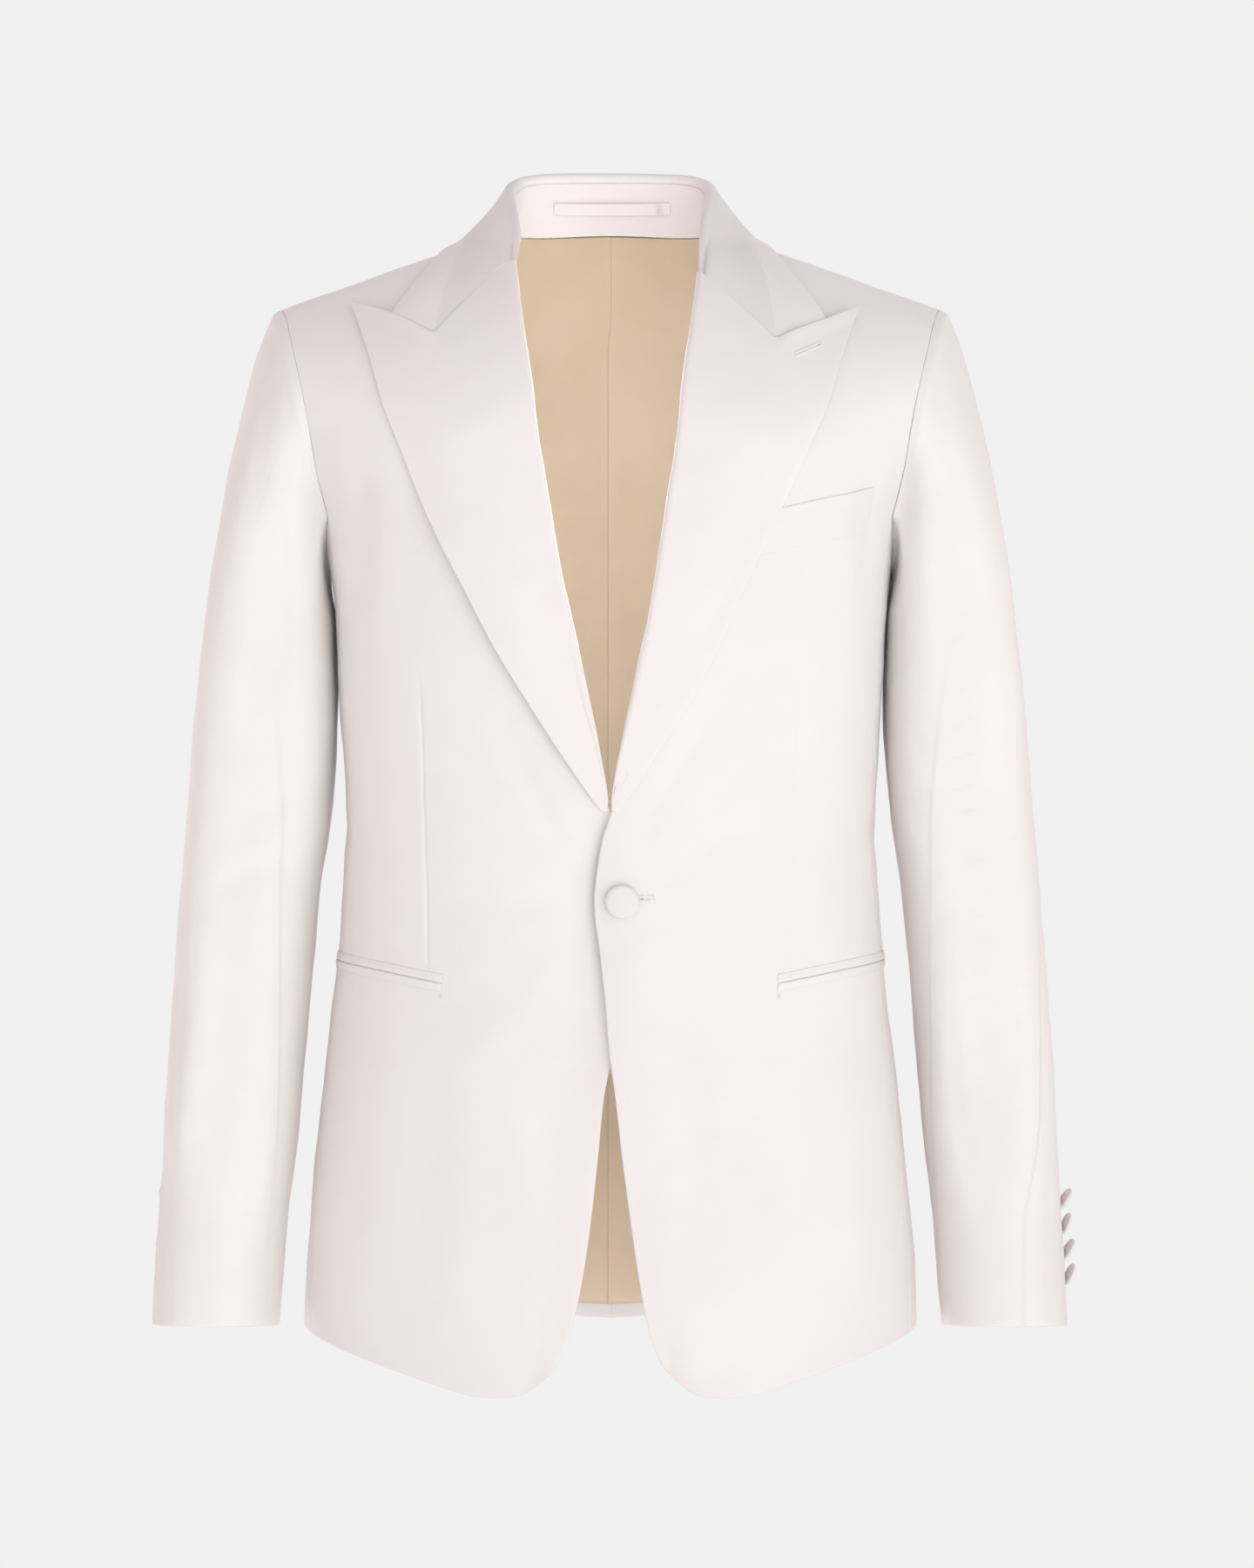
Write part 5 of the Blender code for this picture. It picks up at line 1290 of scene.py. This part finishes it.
def collar_stand():
    """The stand, whose lower edge comes forward over the top of the lining."""
    along = np.linspace(STAND_FIRST, 1.0, COLLAR_STEPS * 2 // 3)
    fold_x, fold_y, fold_z, _, _, foot_x, foot_y, foot_lift, roll, _ = between(COLLAR, along)
    fold = np.stack([fold_x, fold_y, fold_z], -1)
    away = leaf_direction(along)
    top = fold - away * roll[:, None] - UP * (roll + LEAF_TUCK + FOLD_GAP)[:, None]
    foot = np.stack([foot_x, foot_y, top_z(foot_x, foot_y) + foot_lift], -1) - away * STAND_FORWARD
    half = mix(top[:, None], foot[:, None], spaced(STAND_HEIGHT, pitch=FINE_PITCH)[None, :, None])
    points = both_sides(half, half)
    return Wall(points, grid_normals(points, BEHIND_NECK))


# Small pieces.


def hip_jet(low, high):
    """One lip of the hip pocket, between two heights above its mouth, and how thick it is at each point."""
    rise = mix(low, high, spaced(high - low, pitch=JET_PITCH))[:, None]
    first, last = HIP_POCKET[0].turn, HIP_POCKET[-1].turn
    turns = mix(first, last, spaced(JET_LENGTH))[None, :]
    from_mouth = (np.abs(rise) - SEAM) / (high - low)
    rim = np.minimum(turns - first, last - turns)
    thick = mix(SEWN_RISE, JET_RISE, fade(from_mouth, *JET_FLAT) * fade(rim, JET_RIM, 0.0))
    return on_girth(turns, between(HIP_POCKET, turns)[0] + rise, REST + thick), thick


def chest_welt():
    share = spaced(WELT_LENGTH, pitch=FINE_PITCH)[None, :]
    rise = spaced(WELT_HEIGHT, pitch=FINE_PITCH)[:, None]
    low = [mix(a, b, share) for a, b in zip(*WELT_BOTTOM)]
    high = [mix(a, b, share) for a, b in zip(*WELT_TOP)]
    risen = rise**WELT_SWELL * fade(share, *WELT_START) * fade(1.0 - share, *WELT_END)
    thick = mix(SEWN_RISE, WELT_RISE, risen)
    x, z = (mix(a, b, rise) for a, b in zip(low, high))
    return on_form(x, z, False, REST + thick), thick


def lining_half(back, side):
    """Half of the back lining, on the back panel's own points moved in, with the left half folded over
    the right one at the centre."""
    heights = back.points[:, 0, 2]
    kept = slice(int(np.argmax(heights > heights[0] + LINING_LOW)), len(heights) - LINING_SHORT_ROWS)
    normals = back.normals[kept]
    points = back.points[kept] - normals * (SOLID_CLOTH + LAYER)
    pleat = fade(lengths(points, 1), 0.0, PLEAT_BREADTH)
    toward = np.zeros_like(points)
    toward[..., 0] = -LINING_PLEAT * pleat * fade(points[:, :1, 2], *PLEAT_HEIGHTS)
    inward = PLEAT_INWARD[side] * pleat * fade(points[:, :1, 2], *PLEAT_INWARD_HEIGHTS)
    return Wall(points + toward * PLEAT_SHARE[side] - normals * inward[..., None], normals)


def on_stand(stand, x, z, out):
    """Places on the inner face of the stand at the back of the neck."""
    order = np.argsort(stand.points[:, 0, 0])
    rows = order[stand.points[order, 0, 1] > 0]
    where = stand.points[rows, 0, 0]

    def at(values):
        return np.stack([np.interp(x, where, values[:, axis]) for axis in range(3)], -1)

    upper, lower = at(stand.points[rows, 0]), at(stand.points[rows, -1])
    share = (upper[..., 2] - z) / (upper[..., 2] - lower[..., 2])
    places = mix(upper, lower, share[..., None])
    places[..., 0] = x
    return moved_out(Wall(places, unit(at(stand.normals[rows, 3]))), out)


def hanger_loop(stand):
    first, last = HANGER_X
    x = mix(first, last, spaced(last - first, pitch=LOOP_PITCH))[None, :]
    z = (HANGER_Z + HANGER_HEIGHT * (spaced(HANGER_HEIGHT, pitch=LOOP_PITCH_ACROSS) - 0.5))[:, None]
    x, z = np.broadcast_arrays(x, z)
    bow = HANGER_BOW * hump((x - first) / (last - first)) ** 2
    return on_stand(stand, x, z, REST + LOOP_CLOTH + LOOP_RISE + bow)


def button(node, radius, thick, seat, facing):
    """A button with cloth drawn over its dome and gathered a little at the rim, on a thread shank."""
    facing = unit(np.array(facing, float))
    aside = unit(np.cross(facing, UP))
    up = np.cross(aside, facing)
    points, flat = [], []
    spokes = np.arange(BUTTON_SPOKES) * 2 * math.pi / BUTTON_SPOKES
    for reach, height in BUTTON_RINGS:
        near = math.exp(-((height - GATHER_HEIGHT) / GATHER_SPREAD) ** 2)
        ring = reach * radius * (1.0 + GATHER_SIZE * np.sin(spokes * GATHERS + GATHER_TURN) * near)
        across, along = ring * np.cos(spokes), ring * np.sin(spokes)
        points.append(seat + (np.outer(across, aside) + np.outer(along, up)) + facing * (height * thick))
        flat.append(np.stack([across, along], -1))
    points.append(np.array([seat + facing * BUTTON_FOOT * thick, seat + facing * thick]))
    flat.append(np.zeros((2, 2)))
    index = np.arange(BUTTON_SPOKES)
    after = (index + 1) % BUTTON_SPOKES
    faces = []
    for low in range(0, (len(BUTTON_RINGS) - 1) * BUTTON_SPOKES, BUTTON_SPOKES):
        high = low + BUTTON_SPOKES
        faces.extend(np.stack([low + index, low + after, high + after, high + index], -1).tolist())
    foot = len(BUTTON_RINGS) * BUTTON_SPOKES
    last = foot - BUTTON_SPOKES
    faces.extend([foot, int(b), int(a)] for a, b in zip(index, after))
    faces.extend([last + int(a), last + int(b), foot + 1] for a, b in zip(index, after))
    made = piece(node + "_covered", np.concatenate(points), faces, BUTTON_SATIN, np.concatenate(flat))
    turned = bmesh.new()
    turned.from_mesh(made.data)
    bmesh.ops.recalc_face_normals(turned, faces=turned.faces)
    turned.to_mesh(made.data)
    turned.free()
    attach(made, "root")
    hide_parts(node)


# Sewing.


def stitch_tree():
    """Stitches set along a seam line, each lying the way that the line's thread_way gives."""
    sizes = {title: ("Float", None) for title in ("Spacing", "Stitch length", "Thread thickness")}
    tree, given = new_group(
        "row_of_stitches", {"Seam line": ("Geometry", None), **sizes, "Thread": ("Material", None)},
        {"Stitches": "Geometry"}, "GeometryNodeTree",
    )
    add = partial(new_node, tree)
    line = add("GeometryNodeMeshToCurve", {0: given["Seam line"]})
    spacing = {"Curve": line.outputs[0], "Length": given["Spacing"]}
    even = add("GeometryNodeResampleCurve", spacing, mode="LENGTH")
    way = add("GeometryNodeInputNamedAttribute", {"Name": "thread_way"}, data_type="FLOAT_VECTOR")
    turn = add("FunctionNodeAlignRotationToVector", {"Vector": way.outputs["Attribute"]}, axis="X")
    thread = add("GeometryNodeMeshUVSphere", {"Segments": 8, "Rings": 5, "Radius": 0.5})
    thickness = given["Thread thickness"]
    size = add("ShaderNodeCombineXYZ", {"X": given["Stitch length"], "Y": thickness, "Z": thickness})
    place = add("GeometryNodeInstanceOnPoints", {
        "Points": even.outputs[0], "Instance": thread.outputs["Mesh"],
        "Rotation": turn.outputs[0], "Scale": size.outputs[0],
    })
    real = add("GeometryNodeRealizeInstances", {0: place.outputs[0]})
    coloured = add("GeometryNodeSetMaterial", {"Geometry": real.outputs[0], "Material": given["Thread"]})
    add("NodeGroupOutput", {0: coloured.outputs[0]})
    sockets = [item for item in tree.interface.items_tree if item.in_out == "INPUT"]
    return tree, {socket.name: socket.identifier for socket in sockets}


def laid_on(wall, x, z, out=0.0):
    """Places over the wall's side that faces the front, by their x and z."""
    points, normals = wall.points.reshape(-1, 3), wall.normals.reshape(-1, 3)
    seen = normals[:, 1] < FACING_FRONT
    points, normals = points[seen], normals[seen]
    x, z = (np.asarray(values, float) for values in (x, z))
    near = np.hypot(points[:, 0] - x[..., None], points[:, 2] - z[..., None]).argmin(-1)
    at, normal = points[near], normals[near]
    y = at[..., 1] - ((x - at[..., 0]) * normal[..., 0] + (z - at[..., 2]) * normal[..., 2]) / normal[..., 1]
    return Wall(np.stack([x, y, z], -1) + normal * out, normal)


def thread_ways(wall, ways):
    """Ways given as x and z, laid along the wall."""
    flat = np.stack([ways[:, 0], 0.0 * ways[:, 0], ways[:, 1]], -1)
    return unit(flat - wall.normals * np.sum(flat * wall.normals, -1, keepdims=True))


def sewn(points, ways, spacing, length, thickness):
    """The mesh of a row of stitches of one size."""
    mesh = bpy.data.meshes.new("seam_lines")
    mesh.from_pydata(points.tolist(), [(i, i + 1) for i in range(len(points) - 1)], [])
    attribute = mesh.attributes.new("thread_way", "FLOAT_VECTOR", "POINT")
    attribute.data.foreach_set("vector", np.array(ways, np.float32).ravel())
    holder = placed("seam_lines", mesh)
    maker = holder.modifiers.new("stitches", "NODES")
    maker.node_group = STITCHES
    given = {"Spacing": spacing, "Stitch length": length, "Thread thickness": thickness}
    for title, value in {**given, "Thread": SEWING_THREAD}.items():
        maker[STITCH_INPUTS[title]] = value
    graph = bpy.context.evaluated_depsgraph_get()
    made = bpy.data.meshes.new_from_object(holder.evaluated_get(graph))
    bpy.data.objects.remove(holder)
    return made


def threads(name, meshes):
    """One piece from meshes of stitches, riding on the jacket."""
    joined = bmesh.new()
    for mesh in meshes:
        joined.from_mesh(mesh)
    whole = bpy.data.meshes.new(name)
    joined.to_mesh(whole)
    joined.free()
    whole.materials.append(SEWING_THREAD)
    whole.shade_smooth()
    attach(placed(name, whole), "root")


def buttonhole(name, wall, hole):
    """Stitches side by side round a slit, in a fan round its far end and barred at its near one. The slit
    gapes only near its far end.
    It is a thin dark sheet of painted shade, standing in for the shadow in the opening."""
    a, b = np.array(hole.near), np.array(hole.far)
    way = (b - a) / math.hypot(*(b - a))
    aside = np.array([-way[1], way[0]])
    middle = SLIT_HALF + hole.reach / 2
    steps = np.linspace(0.0, 1.0, SIDE_POINTS)[:, None]
    bend = np.linspace(math.pi / 2, -math.pi / 2, FAN_POINTS)[1:-1, None]
    upper = a + (b - a) * steps + aside * middle
    fan = b + middle * (way * np.cos(bend) + aside * np.sin(bend))
    lower = b + (a - b) * steps - aside * middle
    line = np.concatenate([upper, fan, lower])
    sides = np.tile(aside, (SIDE_POINTS, 1))
    inward = np.concatenate([-sides, (b - fan) / middle, sides])
    across = aside * np.linspace(-1.0, 1.0, BAR_POINTS)[:, None]
    bar = a - way * BAR_BEYOND + across * (SLIT_HALF + hole.reach * BAR_SHARE)
    bar_ways = np.tile(way, (BAR_POINTS, 1))
    meshes = []
    for places, ways, length in ((line, inward, hole.reach), (bar, bar_ways, BAR_STITCH)):
        on = laid_on(wall, places[:, 0], places[:, 1], BUTTONHOLE_THREAD * BUTTONHOLE_SUNK)
        meshes.append(sewn(on.points, thread_ways(on, ways), BUTTONHOLE_SPACING, length, BUTTONHOLE_THREAD))
    threads(name + "_stitches", meshes)
    # The slit: a dark sheet of painted shade on the cloth, where the opening would lie in shadow.
    rows, columns = SLIT_POINTS
    along = mix(hole.slit_from, 1.0, np.linspace(0.0, 1.0, rows))[:, None]
    over = np.linspace(-1.0, 1.0, columns)[None, :]
    half = SLIT_HALF * fade(along, 1.0, hole.slit_from - SLIT_CLOSES) * over
    x, z = (a[axis] + (b - a)[axis] * along + aside[axis] * half for axis in (0, 1))
    slit = moved_out(laid_on(wall, x, z), SLIT_RISE * (1.0 - over**2))
    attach(shell(name + "_slit", slit, SLIT_THICK, PAINTED_SLIT_SHADE), "root")


# Making.

Making = namedtuple("Making", "finish slot width length area held rests_on")
MAKINGS = {
    "front": Making(IVORY_WOOL, "ivory_cloth", 0.285, 0.800, 0.147, "hung", None),
    "side": Making(IVORY_WOOL, "ivory_cloth", 0.110, 0.530, 0.050, "hung", None),
    "back": Making(IVORY_WOOL, "ivory_cloth", 0.215, 0.745, 0.156, "hung", None),
    "sleeve_upper": Making(IVORY_WOOL, "ivory_cloth", 0.270, 0.640, 0.125, "hung", None),
    "sleeve_under": Making(IVORY_WOOL, "ivory_cloth", 0.200, 0.560, 0.080, "hung", None),
    "lapel": Making(IVORY_SATIN, "lapel_facing", 0.150, 0.400, 0.0278, "folded", "front_cloth_{}"),
    "lining_back": Making(TAN_LINING, "lining", 0.215, 0.720, 0.149, "hung", "back_cloth_{}"),
    "hip_jet": Making(TRIM_SATIN, "trim_cloth", 0.010, 0.092, None, "folded", "front_cloth_{}"),
    "collar_leaf": Making(IVORY_SATIN, "lapel_facing", 0.075, 0.480, 0.0285, "folded", "lapel_cloth_left"),
    "collar_stand": Making(STAND_WOOL, "stand_cloth", 0.036, 0.290, 0.0072, "folded", "collar_leaf_cloth"),
    "hanger_loop": Making(STAND_WOOL, "stand_cloth", 0.010, 0.080, None, "stretched", "collar_stand_cloth"),
    "chest_welt": Making(TRIM_SATIN, "trim_cloth", 0.036, 0.074, 0.0022, "folded", "front_cloth_left"),
}


def hung(kind, ends, wall, thickness, **edges):
    """The piece in place of its solid, which is hidden."""
    making = MAKINGS[kind]
    made = shell("_".join([kind, "cloth", *ends]), wall, thickness, making.finish, **edges)
    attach(made, "root")
    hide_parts("_".join([kind, *ends]))


def sewn_to_corner(x, side):
    """How deep the edge sinks along the gorge, where lapel and leaf are sewn together up to the notch."""
    return np.where(np.abs(x) < GORGE[side].corner[0] - GORGE_END, GORGE_EDGE, FREE_EDGE)[None, :]


back, back_low = back_panel()
side_wall = side_panel()
fronts = {side: front_panel(side) for side in (1, -1)}
loop = armhole(*fronts[1], side_wall, back, back_low)
both_sewn = {"start": SEWN_EDGE, "end": SEWN_EDGE}
walls = {}
for hand, side in HANDS:
    front = wavered(body_creased(turned_to(side, fronts[side][0]), UNDER_CLOSING if side < 0 else ()))
    hung("front", [hand], front, CLOTH, end=SEWN_EDGE, top=SEWN_EDGE)
    hung("side", [hand], wavered(body_creased(turned_to(side, side_wall))), CLOTH, top=SEWN_EDGE, **both_sewn)
    panel = wavered(body_creased(turned_to(side, back)))
    hung("back", [hand], panel, CLOTH, start=BACK_SEAM_EDGE, end=BACK_SEAM_EDGE, top=SEWN_EDGE)

    upper = vented(sleeve_half(loop, side, BACK_SLEEVE_SEAM - 1.0, FRONT_SLEEVE_SEAM))
    under = sleeve_half(loop, side, FRONT_SLEEVE_SEAM, BACK_SLEEVE_SEAM)
    for kind, half in (("sleeve_upper", upper), ("sleeve_under", under)):
        hung(kind, [hand], wavered(turned_to(side, half)), CLOTH, bottom=SEWN_EDGE, **both_sewn)

    turned, thick = lapel(side)
    top = sewn_to_corner(turned.points[-1, :, 0], side)
    turned = wavered(turned_to(side, turned))
    hung("lapel", [hand], turned, thick, start=HIDDEN_EDGE, top=top)
    walls["front", side], walls["lapel", side] = front, turned

    lining = turned_to(side, lining_half(back, side))
    lining = creased(lining, lining.points[..., 0], lining.points[..., 2], LINING_CREASES)
    hung("lining_back", [hand], lining, LINING_CLOTH, end=SEWN_EDGE, top=SEWN_EDGE)

    for level, low, high, edge in JETS:
        jet, thick = hip_jet(low, high)
        jet = wavered(body_creased(turned_to(side, jet)))
        hung("hip_jet", [level, hand], jet, thick, **both_sewn, **{edge: SEWN_EDGE})

leaf = wavered(collar_leaf(), LEAF_WAVER)
leaf_left, leaf_right = (sewn_to_corner(leaf.points[row, :, 0], side) for row, side in ((0, 1), (-1, -1)))
hung("collar_leaf", [], leaf, LEAF_CLOTH, start=HIDDEN_EDGE, bottom=leaf_left, top=leaf_right)
stand = collar_stand()
hung("collar_stand", [], stand, CLOTH, start=HIDDEN_EDGE, end=SEWN_EDGE)
hung("hanger_loop", [], hanger_loop(stand), LOOP_CLOTH)
welt, thick = chest_welt()
hung("chest_welt", [], wavered(body_creased(welt)), thick, bottom=SEWN_EDGE, **both_sewn)

seat = wavered(body_creased(on_form(*FRONT_BUTTON, False, LAP + 2 * SEAM)))
button("front_button", FRONT_BUTTON_RADIUS, FRONT_BUTTON_THICK, seat.points, seat.normals)
for hand, side in HANDS:
    turn = CUFF_BUTTON_TURN[side] / 360
    for number, tilt in enumerate(np.radians(CUFF_BUTTON_TILTS)):
        z = CUFF_BUTTON_LOWEST + CUFF_BUTTON_PITCH * number
        beside = sleeve_ring(np.full(2, z), turn + CUFF_LOOK_TURN, 0.0)
        down = sleeve_ring(z + CUFF_LOOK_HEIGHT, np.full(2, turn), 0.0)
        facing = unit(np.cross(beside[1] - beside[0], down[1] - down[0]))
        facing = -facing if facing[0] < 0 else facing
        lean = unit(facing * math.cos(tilt) - UP * math.sin(tilt) + np.array([0.0, CUFF_BUTTON_BACK, 0.0]))
        place = sleeve_ring(np.array([z]), np.array([turn]), 0.0)[0]
        place = place + facing * (SEAM + CUFF_BUTTON_RADIUS * math.sin(tilt) * CUFF_BUTTON_RAISE)
        place, lean = turned_to(side, Wall(place, lean))
        button(f"cuff_button_{hand}_{number + 1}", CUFF_BUTTON_RADIUS, CUFF_BUTTON_THICK, place, lean)

STITCHES, STITCH_INPUTS = stitch_tree()
buttonhole("front_buttonhole", walls["front", 1], FRONT_BUTTONHOLE)
buttonhole("lapel_buttonhole", walls["lapel", 1], LAPEL_BUTTONHOLE)

# Stitches across both ends of the hanger loop, and the row below it that holds the stand.
NeckRow = namedtuple("NeckRow", "x z out spacing length")
loop_ends = HANGER_Z + HANGER_HEIGHT * np.linspace(-LOOP_END, LOOP_END, LOOP_END_POINTS)
loop_out = REST + LOOP_CLOTH + LOOP_RISE + THREAD * LOOP_SUNK
stay_x = np.linspace(*STAY_ROW, STAY_POINTS)
rows = []
for row in (
    NeckRow(np.full(LOOP_END_POINTS, HANGER_X[0] + 0.0012), loop_ends, loop_out, 0.0009, 0.0012),
    NeckRow(np.full(LOOP_END_POINTS, HANGER_X[1] - 0.0050), loop_ends, loop_out, 0.0009, 0.0080),
    NeckRow(stay_x, np.full(STAY_POINTS, STAY_HEIGHT), THREAD * STAY_SUNK, 0.0026, 0.0020),
):
    on = on_stand(stand, row.x, row.z, row.out)
    rows.append(sewn(on.points, np.tile(ALONG_X, (len(row.x), 1)), row.spacing, row.length, THREAD))
threads("neck_stitches", rows)

tacks = []
for _, side in HANDS:
    x = np.full(TACK_POINTS, side * TACK_X)
    z = mix(*TACK_HEIGHTS, np.linspace(0.0, 1.0, TACK_POINTS))
    on = laid_on(walls["front", side], x, z, TACK_OUT)
    ways = thread_ways(on, np.tile([1.0, 0.0], (TACK_POINTS, 1)))
    tacks.append(sewn(on.points, ways, TACK_SPACING, TACK_LENGTH, THREAD * TACK_THIN))
threads("pocket_tacks", tacks)

# Stage, light and camera.

CAMERA_PLACE = (0.0109, -3.0, -0.333)
VIEW_BREADTH = 0.828
SENSOR = 36.0
FLOOR_Z = -2.4
FLOOR_RADIUS = 2.6
FLOOR_FADE = (1.2, 2.6)
FLOOR_SPOKES = 96
FLOOR_COLOUR = (0.85, 0.85, 0.85, 1.0)
FLOOR_ROUGHNESS = 0.9
BACKGROUND = (0.877, 0.877, 0.877, 1.0)


def pale_floor():
    """A round pale floor well below, fading out at its rim into the plain background."""
    finish = bpy.data.materials.new("pale_floor")
    finish.use_nodes = True
    tree = finish.node_tree
    add = partial(new_node, tree)
    where = add("ShaderNodeTexCoord").outputs["Object"]
    flat = add("ShaderNodeVectorMath", {0: where, 1: (1.0, 1.0, 0.0)}, operation="MULTIPLY")
    far = add("ShaderNodeVectorMath", {0: flat.outputs[0]}, operation="LENGTH")
    soft = add("ShaderNodeMapRange", {
        "Value": far.outputs["Value"],
        "From Min": FLOOR_FADE[0], "From Max": FLOOR_FADE[1], "To Min": 1.0, "To Max": 0.0,
    }, interpolation_type="SMOOTHSTEP")
    join(tree, tree.nodes["Principled BSDF"].inputs, {
        "Base Color": FLOOR_COLOUR, "Roughness": FLOOR_ROUGHNESS, "Alpha": soft.outputs["Result"]
    })
    spokes = [2 * math.pi * i / FLOOR_SPOKES for i in range(FLOOR_SPOKES)]
    rim = [(FLOOR_RADIUS * math.cos(a), FLOOR_RADIUS * math.sin(a), FLOOR_Z) for a in spokes]
    piece("pale_floor", rim, [list(range(FLOOR_SPOKES))], finish)


Light = namedtuple("Light", "name source strength softness colour")
LIGHTS = [
    Light("right_front", (0.35, -1.0, -0.3), 1.34, 60.0, (0.92, 1.0, 0.98)),
    Light("right_side", (1.0, -0.15, 0.0), 0.14, 60.0, (0.6, 1.0, 0.8)),
    Light("left_side", (-1.0, -0.3, 0.1), 0.15, 60.0, (0.9, 1.0, 0.7)),
    Light("left_behind", (-0.7, 1.0, -0.45), 0.75, 24.0, (1.0, 0.98, 0.96)),
]
ROOM_COLOUR = (1.0, 0.895, 0.945, 1.0)
ROOM_STRENGTH = 0.745
ROOM_OVERHEAD = 0.86
ROOM_UNDERFOOT = 1.14
INSIDE_LIGHT = 0.60
INSIDE_COLOUR = (0.96, 1.0, 1.06)
INSIDE_SIZE = (0.16, 0.22)
INSIDE_PLACE = (0.022, -0.03, -0.138)


def studio():
    world = bpy.data.worlds.new("studio")
    world.use_nodes = True
    tree = world.node_tree
    room = tree.nodes["Background"]
    add = partial(new_node, tree)
    parts = add("ShaderNodeSeparateXYZ", {0: add("ShaderNodeTexCoord").outputs["Generated"]})
    upward = add("ShaderNodeMapRange", {
        "Value": parts.outputs["Z"], "From Min": -1.0,
        "To Min": ROOM_STRENGTH * ROOM_UNDERFOOT, "To Max": ROOM_STRENGTH * ROOM_OVERHEAD,
    })
    join(tree, room.inputs, {"Color": ROOM_COLOUR, "Strength": upward.outputs["Result"]})
    seen = add("ShaderNodeBackground", {"Color": BACKGROUND})
    which = add("ShaderNodeLightPath").outputs["Is Camera Ray"]
    both = add("ShaderNodeMixShader", {"Fac": which, 1: room.outputs[0], 2: seen.outputs[0]})
    join(tree, tree.nodes["World Output"].inputs, {"Surface": both.outputs[0]})
    bpy.context.scene.world = world
    for light in LIGHTS:
        lamp = bpy.data.lights.new(light.name, "SUN")
        lamp.energy = light.strength
        lamp.angle = math.radians(light.softness)
        lamp.color = light.colour
        placed(light.name, lamp).rotation_euler = Vector(light.source).to_track_quat("Z", "Y").to_euler()
    # A small panel inside the jacket, unseen itself, so that the back lining isn't lost in the dark.
    lamp = bpy.data.lights.new("inside_panel", "AREA")
    lamp.shape = "RECTANGLE"
    lamp.size, lamp.size_y = INSIDE_SIZE
    lamp.energy = INSIDE_LIGHT
    lamp.color = INSIDE_COLOUR
    holder = placed("inside_panel", lamp)
    holder.location = INSIDE_PLACE
    holder.rotation_euler = (math.radians(90), 0.0, math.radians(180))
    holder.visible_camera = False


def camera():
    lens = bpy.data.cameras.new("camera")
    lens.sensor_fit = "HORIZONTAL"
    lens.sensor_width = SENSOR
    lens.lens = SENSOR * -CAMERA_PLACE[1] / VIEW_BREADTH
    holder = placed("camera", lens)
    holder.location = CAMERA_PLACE
    holder.rotation_euler = (math.radians(90), 0.0, 0.0)
    bpy.context.scene.camera = holder


pale_floor()
studio()
camera()
bpy.context.scene.view_settings.view_transform = "Standard"
